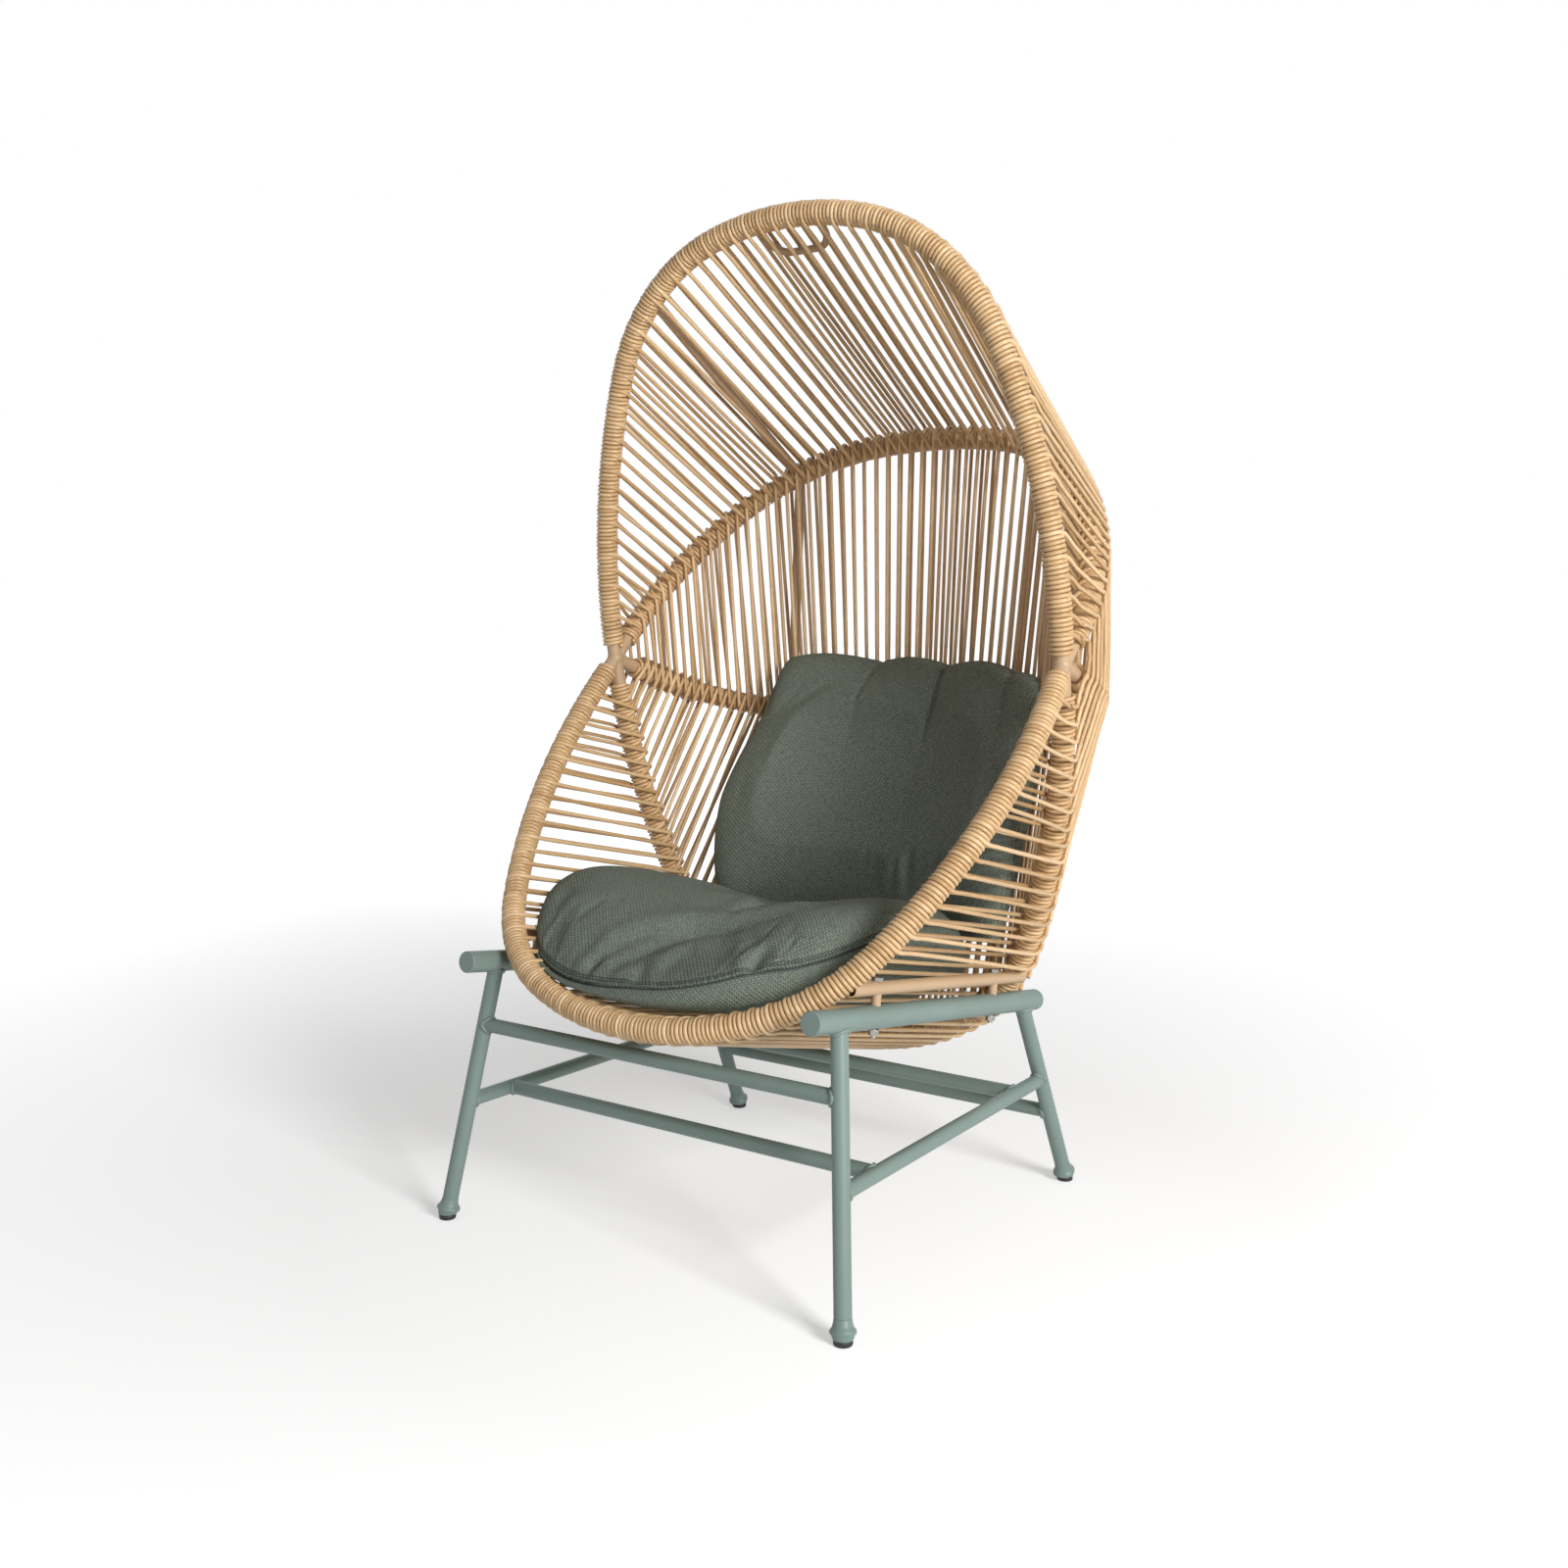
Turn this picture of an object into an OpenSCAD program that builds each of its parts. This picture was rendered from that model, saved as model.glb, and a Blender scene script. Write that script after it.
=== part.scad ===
// Egg chair: a shell of five tube hoops that meet at two side hubs, wound and strung with cord,
// bolted on a four-legged tube base, with a seat cushion and a back cushion lying loose in it.
// -Y is the open front, Z is up and the floor is at zero. Left and right are as seen from the
// front, so +X is the right side.

/* [Hoop hubs] */
// Distance from the middle plane to the centre of each side hub
hub_half_span = 444.6; // [425:0.2:465]
// How far the hubs lie behind the origin
hub_set_back = 48.3; // [30:0.1:75]
// Height of the hubs above the floor
hub_height = 886.4; // [870:0.2:920]
// Length of each straight stub from the hub centre to the hoop tube
hub_stub = 30; // [28:0.5:36]
// Diameter of the ball where the stubs meet
hub_ball_diameter = 29; // [27:0.5:34]

/* [Hoop tube and cord] */
// Outer diameter of the hoop tube
hoop_diameter = 25; // [22:0.5:27]
// Wall of the hoop tube
hoop_wall = 1.6; // [1.2:0.1:2.5]
// Diameter of the cord
cord_diameter = 6.9; // [5:0.1:7.5]
// Distance from a hub to the first turn of cord along a hoop
winding_start = 44; // [42:1:60]
// Cord pairs that would fill each bay from hub to hub
string_steps = 66; // [40:1:72]
// First pair counted from a hub
first_string_step = 3; // [3:1:6]
// Share of a step between the two cords of a pair on the rims
rim_pair_spread = 0.5; // [0.4:0.01:0.5]
// Share of a step between the two cords of a pair on the inner hoops
inner_pair_spread = 0.2; // [0:0.01:0.4]

/* [Front arch] */
// Angle of the hoop's plane above the backward horizontal
front_arch_tilt = 97.93; // [95:0.01:100]
// Outward lean of the hoop at the hub
front_arch_lean = 1.02; // [-3:0.01:5]
// Bend radius of the sides
front_arch_side_radius = 1180; // [1000:5:1400]
// Angle that each side turns through
front_arch_side_turn = 22.74; // [18:0.01:26]
// Bend radius of the shoulders
front_arch_shoulder_radius = 329.8; // [300:0.2:360]
// Angle that each shoulder turns through
front_arch_shoulder_turn = 54; // [48:0.1:58]

/* [Upper back hoop] */
// Angle of the hoop's plane above the backward horizontal
upper_hoop_tilt = 45.89; // [43:0.01:48]
// Outward lean of the hoop at the hub
upper_hoop_lean = 2.45; // [-1:0.01:5]
// Bend radius of the sides
upper_hoop_side_radius = 606.8; // [560:0.2:660]
// Angle that each side turns through
upper_hoop_side_turn = 37.11; // [34:0.01:39]
// Bend radius of the shoulders
upper_hoop_shoulder_radius = 346.1; // [320:0.1:370]
// Angle that each shoulder turns through
upper_hoop_shoulder_turn = 46.5; // [42:0.1:49]

/* [Lower back hoop] */
// Angle of the hoop's plane above the backward horizontal
lower_hoop_tilt = -18.87; // [-21:0.01:-16]
// Outward lean of the hoop at the hub
lower_hoop_lean = -1.09; // [-4:0.01:2]
// Bend radius of the sides
lower_hoop_side_radius = 624; // [560:1:700]
// Angle that each side turns through
lower_hoop_side_turn = 9.25; // [6:0.01:12]
// Bend radius of the shoulders
lower_hoop_shoulder_radius = 215.4; // [190:0.2:240]
// Angle that each shoulder turns through
lower_hoop_shoulder_turn = 41.9; // [36:0.1:46]

/* [Seat hoop] */
// Angle of the hoop's plane above the backward horizontal
seat_hoop_tilt = -79.21; // [-80.5:0.01:-78]
// Outward lean of the hoop at the hub
seat_hoop_lean = -1.62; // [-3:0.01:0]
// Bend radius of the sides
seat_hoop_side_radius = 1194.6; // [1150:0.2:1250]
// Angle that each side turns through
seat_hoop_side_turn = 21.71; // [21:0.01:22.4]
// Bend radius of the shoulders
seat_hoop_shoulder_radius = 286.4; // [275:0.2:295]
// Angle that each shoulder turns through
seat_hoop_shoulder_turn = 35.4; // [33:0.1:37]

/* [Front rim] */
// Angle of the hoop's plane above the backward horizontal
front_rim_tilt = -132.76; // [-134:0.01:-131]
// Outward lean of the hoop at the hub
front_rim_lean = 4.07; // [2:0.01:6]
// Bend radius of the sides
front_rim_side_radius = 970.9; // [940:0.1:1000]
// Angle that each side turns through
front_rim_side_turn = 29.9; // [29:0.01:31]
// Bend radius of the shoulders
front_rim_shoulder_radius = 292.4; // [284:0.2:300]
// Angle that each shoulder turns through
front_rim_shoulder_turn = 41.5; // [39:0.1:43]

/* [Ribs and seat rails] */
// Outer diameter of the straight ribs between the hoops
rib_diameter = 19; // [16:0.5:22]
// Wall of the ribs and the seat rails
rib_wall = 1.5; // [1:0.1:2]
// Distance from the middle plane to each rib on the front arch
arch_rib_half_spacing = 277; // [250:1:300]
// Distance from the middle plane to each rib on the upper back hoop
upper_rib_half_spacing = 265; // [240:1:285]
// Distance from the middle plane to each rib on the lower back hoop
lower_rib_half_spacing = 262; // [240:1:285]
// Distance from the middle plane to each rib on the seat hoop
seat_rib_half_spacing = 257; // [240:1:280]
// Outer diameter of the seat rails, which run under the front rim and the seat hoop
seat_rail_diameter = 20; // [18:0.5:22]
// Distance from the middle plane to each seat rail at the front rim
seat_rail_front_half_spacing = 327; // [318:1:332]
// Distance from the middle plane to each seat rail at the seat hoop
seat_rail_rear_half_spacing = 336; // [328:1:338]

/* [Hanging bracket] */
// Distance from the middle plane to each leg of the bracket, measured to the rod's centre
bracket_half_width = 56; // [40:1:70]
// Distance from the front arch's centre line to the far run of the bracket
bracket_reach = 74; // [60:1:90]
// Bend radius of the bracket's two corners
bracket_corner_radius = 34; // [25:1:38]
// Diameter of the bracket's rod
bracket_rod_diameter = 12; // [8:0.5:14]

/* [Base] */
// Outer diameter of the side rails
rail_diameter = 34; // [30:0.5:36]
// Wall of the side rails
rail_wall = 2; // [1.5:0.1:3]
// Length of the side rails
rail_length = 634; // [620:1:660]
// How far the side rails reach in front of the front rim's seat rail joint
rail_front_reach = 94; // [80:1:110]
// Thickness of each end cap's rim outside the tube
cap_thickness = 3; // [2:0.5:5]
// How far each end cap's plug goes into the tube
cap_plug_depth = 14; // [8:1:20]
// Outer diameter of the legs
leg_diameter = 25; // [22:0.5:27]
// Outer diameter of the crossbars and stretchers
bar_diameter = 23; // [18:0.5:25]
// Wall of the legs, crossbars and stretchers
leg_wall = 1.8; // [1.2:0.1:2.5]
// Distance from the front end of a side rail to the front leg's centre
front_leg_inset = 65; // [50:1:90]
// Distance from the rear end of a side rail to the rear leg's centre
rear_leg_inset = 45; // [35:1:60]
// Distance from the middle plane to the front feet
front_foot_half_spacing = 380.5; // [360:0.5:400]
// Distance of the front feet in front of the hubs
front_foot_advance = 490.5; // [450:0.5:510]
// Distance from the middle plane to the rear feet
rear_foot_half_spacing = 350.6; // [340:0.2:380]
// Distance of the rear feet behind the hubs
rear_foot_set_back = 250.2; // [230:0.2:280]
// Height of the side stretchers on the front legs
stretcher_front_height = 191; // [180:1:215]
// Height of the side stretchers on the rear legs
stretcher_rear_height = 196; // [180:1:215]
// Height of the upper front crossbar, which joins the front legs
front_upper_bar_height = 313; // [290:1:318]
// Height of the lower rear crossbar, which joins the rear legs
rear_lower_bar_height = 134; // [100:1:155]
// Distance behind the front legs at which the lower front crossbar joins the side stretchers
front_lower_bar_inset = 91; // [60:1:120]
// Distance in front of the rear legs at which the upper rear crossbar joins the side stretchers
rear_upper_bar_inset = 93; // [60:1:120]

/* [Feet] */
// Diameter of the collar at its foot
collar_diameter = 37; // [34:0.5:42]
// Diameter of the collar where it meets the leg
collar_neck_diameter = 29; // [28:0.5:32]
// Height of the collar
collar_height = 15; // [12:0.5:20]
// Diameter of the glide
glide_diameter = 27; // [24:0.5:32]
// Height of the glide below the collar
glide_height = 9; // [6:0.5:12]
// Diameter of the glide's stem inside the leg
glide_stem_diameter = 10; // [8:0.5:12]
// Length of the glide's stem inside the leg
glide_stem_length = 14; // [10:0.5:18]

/* [Shell mounting] */
// Distance along a side rail from its front end to the front bolt
front_bolt_distance = 153; // [130:1:180]
// Distance along a side rail from its front end to the rear bolt
rear_bolt_distance = 490; // [460:1:510]
// Clear height between a seat rail and the side rail under it
spacer_gap = 13; // [11:0.5:16]
// Outer diameter of the spacer sleeves
spacer_diameter = 14; // [13:0.5:16]
// Diameter of the mounting bolts
bolt_diameter = 8; // [6:0.5:8]
// Extra width of each bolt hole
bolt_hole_play = 0.6; // [0.4:0.1:1]
// Width across the flats of the bolt heads and nuts
hex_width = 13; // [13:0.5:14]
// Height of the bolt heads
bolt_head_height = 5; // [4:0.5:6]
// Height of the nuts
nut_height = 6.5; // [5:0.5:8]
// Diameter of the washers
washer_diameter = 16; // [15:0.5:18]
// Thickness of the washers
washer_thickness = 1.6; // [1:0.1:2]
// How far the bolt ends stick out of the nuts
bolt_end = 4; // [2:0.5:6]

/* [Seat cushion] */
// Half of the seat cushion's width
seat_cushion_half_width = 320; // [280:1:324]
// Distance of the seat cushion's front edge in front of the hubs
seat_cushion_front = 449.5; // [430:0.5:453]
// Distance of the seat cushion's rear edge behind the hubs
seat_cushion_rear = 128.5; // [70:0.5:133]
// Height of the boxed side between the two seams
seat_boxing_height = 38; // [30:1:50]
// How far the crown rises above the upper seam at the middle of the seat cushion
seat_crown = 126; // [60:1:135]
// How far the rear of the seat cushion is held up by the slope behind it
seat_rear_lift = 40; // [0:1:50]
// How far the boxed side draws in between its seams
boxing_draw = 4; // [2:0.5:8]
// Gap between the cushions and whatever carries them
cushion_gap = 2; // [1.5:0.1:3]

/* [Back cushion] */
// Half of the back cushion's width at its widest
back_cushion_half_width = 322; // [280:1:328]
// Height of the back cushion's top edge above the hubs
back_cushion_rise = 5.6; // [-30:0.2:15]
// Height of the back cushion from its lower edge to its top edge
back_cushion_height = 442; // [380:1:446]
// Thickness of the back cushion on the crown of its lobes
back_cushion_thickness = 118; // [90:1:120]
// Number of lobes across the back cushion
back_lobes = 4; // [3:1:5]
// Depth of the sewn channels between the lobes
channel_depth = 14; // [8:1:20]
// How far each channel pulls the top edge down
scallop_depth = 10; // [0:1:16]
// How far the top corners drop below the top edge
corner_drop = 64; // [30:1:80]

/* [Hidden] */

CORD = "#c9a26c";
SHELL_PAINT = "#a58a6c";
BASE_PAINT = "#8fa39d";
GLIDE_BLACK = "#1d1e1f";
STEEL = "#b9bcbe";
FABRIC = "#6b7d73";

// Facets that stand for a full turn of a bend, of a tube and of a cord
BEND_FACETS = 240;
TUBE_FACETS = 48;
CORD_FACETS = 24;
// Each weld is a short ring inside the tube's wall across a hair-thin joint
WELD_JOINT = 0.02;
WELD_LENGTH = 6;
// Turn of each bar about its own axis, which keeps its seam away from level cuts
BAR_ROLL = 37;
// Clearance that the windings leave round each piece that passes through them
PASS_GAP = 0.5;
// The cords press this deep into the windings that carry them
CORD_BITE = 0.1;
// Clearance that a seat string needs beside a bar, and the share of its run between two checks
STRING_GAP = 1.5;
STRING_CHECK = 0.02;
// Hair-thin joint between a bolt head or a washer and the rail that it bears on
BEARING_JOINT = 0.05;
// Share of an end cap's rim that is rounded over
CAP_ROUND_SHARE = 0.6;
// How far a glide's stem starts inside the glide
STEM_ROOT = 2;
SIDES = [-1, 1];

winding_diameter = hoop_diameter + 2 * cord_diameter;
// Distance from a hoop's centre line to the centre line of a cord that lies on its winding
cord_ride = winding_diameter / 2 + cord_diameter / 2 - CORD_BITE;

// ---------- vectors ----------
function unit(v) = v / norm(v);
function mix(a, b, t) = a + (b - a) * t;
function to_degrees(arc_length, radius) = arc_length / radius * 180 / PI;

// A round bar between two points
module bar(a, b, d) {
    v = b - a;
    translate(a)
        rotate([0, acos(v[2] / norm(v)), atan2(v[1], v[0])])
            rotate([0, 0, BAR_ROLL])
                cylinder(d = d, h = norm(v), $fn = TUBE_FACETS);
}

// A round tube between two points
module tube(a, b, d, wall) {
    past = unit(b - a);
    difference() {
        bar(a, b, d);
        bar(a - past, b + past, d - 2 * wall);
    }
}

// ---------- hoops ----------
// A hoop lies in a plane through both hubs. Half of it is a straight stub, a side bend, a
// shoulder bend and half of the crown. Flat points are [x, distance from the line of the hubs].
function heading_step(p, radius, from, to) =
    p + radius * [sin(to) - sin(from), cos(from) - cos(to)];

function make_hoop(tilt, lean, side_radius, side_turn, shoulder_radius, shoulder_turn) =
    let (
        h0 = 90 - lean,
        h1 = h0 + side_turn,
        h2 = h1 + shoulder_turn,
        p0 = [hub_half_span, 0] + hub_stub * [cos(h0), sin(h0)],
        p1 = heading_step(p0, side_radius, h0, h1),
        p2 = heading_step(p1, shoulder_radius, h1, h2),
        crown_radius = p2[0] / sin(h2)
    )
    [tilt, [h0, h1, h2], [p0, p1, p2], [side_radius, shoulder_radius, crown_radius]];

function tilt_of(hoop) = hoop[0];
function headings_of(hoop) = hoop[1];
function starts_of(hoop) = hoop[2];
function radii_of(hoop) = hoop[3];

function bend_lengths(hoop) =
    let (h = headings_of(hoop), r = radii_of(hoop))
    [r[0] * (h[1] - h[0]) * PI / 180, r[1] * (h[2] - h[1]) * PI / 180, r[2] * (180 - h[2]) * PI / 180];

function half_length(hoop) =
    let (lengths = bend_lengths(hoop))
    hub_stub + lengths[0] + lengths[1] + lengths[2];

// Heading and flat point at a distance along the right half, counted from the right hub
function flat_point(hoop, along) =
    let (
        h = headings_of(hoop),
        p = starts_of(hoop),
        r = radii_of(hoop),
        lengths = bend_lengths(hoop),
        bend = along < hub_stub + lengths[0] ? 0 : along < hub_stub + lengths[0] + lengths[1] ? 1 : 2,
        before = hub_stub + (bend > 0 ? lengths[0] : 0) + (bend > 1 ? lengths[1] : 0),
        heading = h[bend] + to_degrees(along - before, r[bend])
    )
    [heading, heading_step(p[bend], r[bend], h[bend], heading)];

function in_space(hoop, flat) = [
    flat[0],
    hub_set_back + flat[1] * cos(tilt_of(hoop)),
    hub_height + flat[1] * sin(tilt_of(hoop))
];

// Centre line point and direction at a share of the hoop's whole length, from the right hub
function hoop_at(hoop, share) =
    let (
        mirrored = share > 0.5,
        at = flat_point(hoop, 2 * half_length(hoop) * (mirrored ? 1 - share : share)),
        heading = mirrored ? 360 - at[0] : at[0],
        x = mirrored ? -at[1][0] : at[1][0],
        t = tilt_of(hoop)
    )
    [in_space(hoop, [x, at[1][1]]), [cos(heading), sin(heading) * cos(t), sin(heading) * sin(t)]];

// Centre line point where a hoop passes a distance x from the middle plane
function hoop_at_x(hoop, x) =
    let (
        h = headings_of(hoop),
        p = starts_of(hoop),
        r = radii_of(hoop),
        side = abs(x),
        bend = side < p[2][0] ? 2 : side < p[1][0] ? 1 : 0,
        heading = 180 - asin(sin(h[bend]) + (side - p[bend][0]) / r[bend]),
        flat = heading_step(p[bend], r[bend], h[bend], heading)
    )
    in_space(hoop, [x, flat[1]]);

// The five bends of a hoop as [centre, radius, first angle, sweep], with the ends trimmed
function bends_of(hoop, trim) =
    let (
        h = headings_of(hoop),
        p = starts_of(hoop),
        r = radii_of(hoop),
        centres = [for (i = [0:2]) p[i] + r[i] * [-sin(h[i]), cos(h[i])]],
        end_trim = to_degrees(trim, r[0]),
        joint = [for (i = [0:2]) to_degrees(WELD_JOINT / 2, r[i])],
        side_sweep = h[1] - h[0] - end_trim - joint[0],
        shoulder_sweep = h[2] - h[1] - 2 * joint[1],
        mirror_x = [-1, 1]
    )
    [
        [centres[0], r[0], h[0] - 90 + end_trim, side_sweep],
        [centres[1], r[1], h[1] - 90 + joint[1], shoulder_sweep],
        [[0, centres[2][1]], r[2], h[2] - 90 + joint[2], 2 * (180 - h[2] - joint[2])],
        [[-centres[1][0], centres[1][1]], r[1], 270 - h[2] + joint[1], shoulder_sweep],
        [[-centres[0][0], centres[0][1]], r[0], 270 - h[1] + joint[0], side_sweep]
    ];

module into_hoop_plane(hoop) {
    translate([0, hub_set_back, hub_height])
        rotate([tilt_of(hoop), 0, 0])
            children();
}

module ring_profile(outer, inner) {
    difference() {
        circle(d = outer, $fn = TUBE_FACETS);
        if (inner > 0) circle(d = inner, $fn = TUBE_FACETS);
    }
}

module bend(b, outer, inner) {
    translate([b[0][0], b[0][1], 0])
        rotate([0, 0, b[2]])
            rotate_extrude(angle = b[3], $fn = BEND_FACETS)
                translate([b[1], 0])
                    ring_profile(outer, inner);
}

// The ring of weld inside the wall where two bends meet
module weld(flat, heading, outer, inner) {
    quarter = (outer - inner) / 4;
    translate([flat[0], flat[1], 0])
        rotate([0, 0, heading])
            rotate([0, 90, 0])
                difference() {
                    cylinder(d = outer - quarter, h = WELD_LENGTH, center = true, $fn = TUBE_FACETS);
                    cylinder(
                        d = inner + quarter, h = 2 * WELD_LENGTH, center = true, $fn = TUBE_FACETS
                    );
                }
}

// A whole hoop of tube or winding, from the stub of one hub to the stub of the other
module hoop_body(hoop, outer, inner, trim) {
    h = headings_of(hoop);
    p = starts_of(hoop);
    into_hoop_plane(hoop) {
        for (b = bends_of(hoop, trim)) bend(b, outer, inner);
        for (i = [1:2]) {
            weld(p[i], h[i], outer, inner);
            weld([-p[i][0], p[i][1]], -h[i], outer, inner);
        }
    }
}

// The bends of a hoop as plain solid bars, for cutting what is welded on the tube
module hoop_cutter(hoop, d) {
    into_hoop_plane(hoop)
        for (b = bends_of(hoop, 0)) bend(b, d, 0);
}

front_arch = make_hoop(
    front_arch_tilt, front_arch_lean, front_arch_side_radius, front_arch_side_turn,
    front_arch_shoulder_radius, front_arch_shoulder_turn
);
upper_hoop = make_hoop(
    upper_hoop_tilt, upper_hoop_lean, upper_hoop_side_radius, upper_hoop_side_turn,
    upper_hoop_shoulder_radius, upper_hoop_shoulder_turn
);
lower_hoop = make_hoop(
    lower_hoop_tilt, lower_hoop_lean, lower_hoop_side_radius, lower_hoop_side_turn,
    lower_hoop_shoulder_radius, lower_hoop_shoulder_turn
);
seat_hoop = make_hoop(
    seat_hoop_tilt, seat_hoop_lean, seat_hoop_side_radius, seat_hoop_side_turn,
    seat_hoop_shoulder_radius, seat_hoop_shoulder_turn
);
front_rim = make_hoop(
    front_rim_tilt, front_rim_lean, front_rim_side_radius, front_rim_side_turn,
    front_rim_shoulder_radius, front_rim_shoulder_turn
);
HOOPS = [front_arch, upper_hoop, lower_hoop, seat_hoop, front_rim];

// The stubs grow out of the ball, so each starts a little way out from the centre
stub_root = hoop_diameter / 4;

module hub(side) {
    centre = [side * hub_half_span, hub_set_back, hub_height];
    color(SHELL_PAINT) {
        translate(centre)
            sphere(d = hub_ball_diameter, $fn = TUBE_FACETS);
        for (hoop = HOOPS) {
            p = starts_of(hoop)[0];
            tip = in_space(hoop, [side * p[0], p[1]]);
            bar(mix(centre, tip, stub_root / hub_stub), tip, hoop_diameter);
        }
    }
}

module hoop_tube(hoop) {
    color(SHELL_PAINT)
        hoop_body(hoop, hoop_diameter, hoop_diameter - 2 * hoop_wall, 0);
}

// The cord wound round a hoop, as one sleeve of its full thickness
module winding(hoop) {
    color(CORD)
        difference() {
            hoop_body(hoop, winding_diameter, hoop_diameter, winding_start - hub_stub);
            children();
        }
}

// ---------- ribs, seat rails and bracket ----------
function rib_end(hoop, half_spacing, side) = hoop_at_x(hoop, side * half_spacing);

module canopy_rib_bar(side, d) {
    bar(
        rib_end(front_arch, arch_rib_half_spacing, side),
        rib_end(upper_hoop, upper_rib_half_spacing, side), d
    );
}

module back_rib_bar(side, d) {
    bar(
        rib_end(upper_hoop, upper_rib_half_spacing, side),
        rib_end(lower_hoop, lower_rib_half_spacing, side), d
    );
}

module lumbar_rib_bar(side, d) {
    bar(
        rib_end(lower_hoop, lower_rib_half_spacing, side),
        rib_end(seat_hoop, seat_rib_half_spacing, side), d
    );
}

rib_bore = rib_diameter - 2 * rib_wall;

module canopy_rib(side) {
    color(SHELL_PAINT)
        difference() {
            canopy_rib_bar(side, rib_diameter);
            canopy_rib_bar(side, rib_bore);
            hoop_cutter(front_arch, hoop_diameter);
            hoop_cutter(upper_hoop, hoop_diameter);
        }
}

module back_rib(side) {
    color(SHELL_PAINT)
        difference() {
            back_rib_bar(side, rib_diameter);
            back_rib_bar(side, rib_bore);
            hoop_cutter(upper_hoop, hoop_diameter);
            hoop_cutter(lower_hoop, hoop_diameter);
        }
}

module lumbar_rib(side) {
    color(SHELL_PAINT)
        difference() {
            lumbar_rib_bar(side, rib_diameter);
            lumbar_rib_bar(side, rib_bore);
            hoop_cutter(lower_hoop, hoop_diameter);
            hoop_cutter(seat_hoop, hoop_diameter);
        }
}

// The joints of a seat rail with the front rim and the seat hoop, and the square directions there
function rim_joint(side) = hoop_at_x(front_rim, side * seat_rail_front_half_spacing);
function seat_joint(side) = hoop_at_x(seat_hoop, side * seat_rail_rear_half_spacing);
function rail_run(side) = unit(seat_joint(side) - rim_joint(side));
function rail_down(side) = unit(cross(cross(rail_run(side), [0, 0, -1]), rail_run(side)));
seat_rail_drop = (hoop_diameter + seat_rail_diameter) / 2;
side_rail_drop = seat_rail_drop + (seat_rail_diameter + rail_diameter) / 2 + spacer_gap;
// How far each seat rail runs on past the hoops that it is welded under
seat_rail_end = 8;

module seat_rail_bar(side, d) {
    past = seat_rail_end * rail_run(side);
    drop = seat_rail_drop * rail_down(side);
    bar(rim_joint(side) - past + drop, seat_joint(side) + past + drop, d);
}

module seat_rail(side) {
    color(SHELL_PAINT)
        difference() {
            seat_rail_bar(side, seat_rail_diameter);
            seat_rail_bar(side, seat_rail_diameter - 2 * rib_wall);
            hoop_cutter(front_rim, hoop_diameter);
            hoop_cutter(seat_hoop, hoop_diameter);
            bolt_holes(side);
        }
}

// The bracket lies in the plane of the canopy strings, between their two layers
bracket_slope = let (
    a = hoop_at_x(front_arch, 0),
    b = hoop_at_x(upper_hoop, 0)
) atan2(b[2] - a[2], b[1] - a[1]);

module into_bracket_plane() {
    translate(hoop_at_x(front_arch, 0))
        rotate([bracket_slope, 0, 0])
            children();
}

module bracket_legs(d) {
    into_bracket_plane()
        for (side = SIDES)
            bar(
                [side * bracket_half_width, 0, 0],
                [side * bracket_half_width, bracket_reach - bracket_corner_radius, 0], d
            );
}

module hanging_bracket() {
    corner_x = bracket_half_width - bracket_corner_radius;
    corner_y = bracket_reach - bracket_corner_radius;
    joint = to_degrees(WELD_JOINT / 2, bracket_corner_radius);
    color(SHELL_PAINT)
        difference() {
            union() {
                bracket_legs(bracket_rod_diameter);
                into_bracket_plane() {
                    bar([-corner_x, bracket_reach, 0], [corner_x, bracket_reach, 0], bracket_rod_diameter);
                    bend(
                        [[corner_x, corner_y], bracket_corner_radius, joint, 90 - 2 * joint],
                        bracket_rod_diameter, 0
                    );
                    bend(
                        [[-corner_x, corner_y], bracket_corner_radius, 90 + joint, 90 - 2 * joint],
                        bracket_rod_diameter, 0
                    );
                    for (side = SIDES) {
                        bracket_pin([side * bracket_half_width, corner_y], 90);
                        bracket_pin([side * corner_x, bracket_reach], 0);
                    }
                }
            }
            hoop_cutter(front_arch, hoop_diameter);
        }
}

// The weld inside the rod where a straight run meets a corner
module bracket_pin(flat, heading) {
    translate([flat[0], flat[1], 0])
        rotate([0, 0, heading])
            rotate([0, 90, 0])
                cylinder(
                    d = bracket_rod_diameter / 2, h = WELD_LENGTH, center = true, $fn = TUBE_FACETS
                );
}

module front_arch_winding() {
    winding(front_arch) {
        for (side = SIDES) canopy_rib_bar(side, rib_diameter + 2 * PASS_GAP);
        bracket_legs(bracket_rod_diameter + 2 * PASS_GAP);
    }
}

module upper_back_winding() {
    winding(upper_hoop)
        for (side = SIDES) {
            canopy_rib_bar(side, rib_diameter + 2 * PASS_GAP);
            back_rib_bar(side, rib_diameter + 2 * PASS_GAP);
        }
}

module lower_back_winding() {
    winding(lower_hoop)
        for (side = SIDES) {
            back_rib_bar(side, rib_diameter + 2 * PASS_GAP);
            lumbar_rib_bar(side, rib_diameter + 2 * PASS_GAP);
        }
}

module seat_hoop_winding() {
    winding(seat_hoop)
        for (side = SIDES) {
            lumbar_rib_bar(side, rib_diameter + 2 * PASS_GAP);
            seat_rail_bar(side, seat_rail_diameter + 2 * PASS_GAP);
            rail_bar(side, rail_diameter + 2 * PASS_GAP);
        }
}

module front_rim_winding() {
    winding(front_rim)
        for (side = SIDES) seat_rail_bar(side, seat_rail_diameter + 2 * PASS_GAP);
}

// ---------- strings ----------
// A bay is strung between two hoops. One cord of a pair lies on the inside of both hoops, the
// other on the outside. The pairs of neighbouring bays leave a shared hoop half a step apart.
OUTSIDE = 1;
INSIDE = -1;

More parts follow.
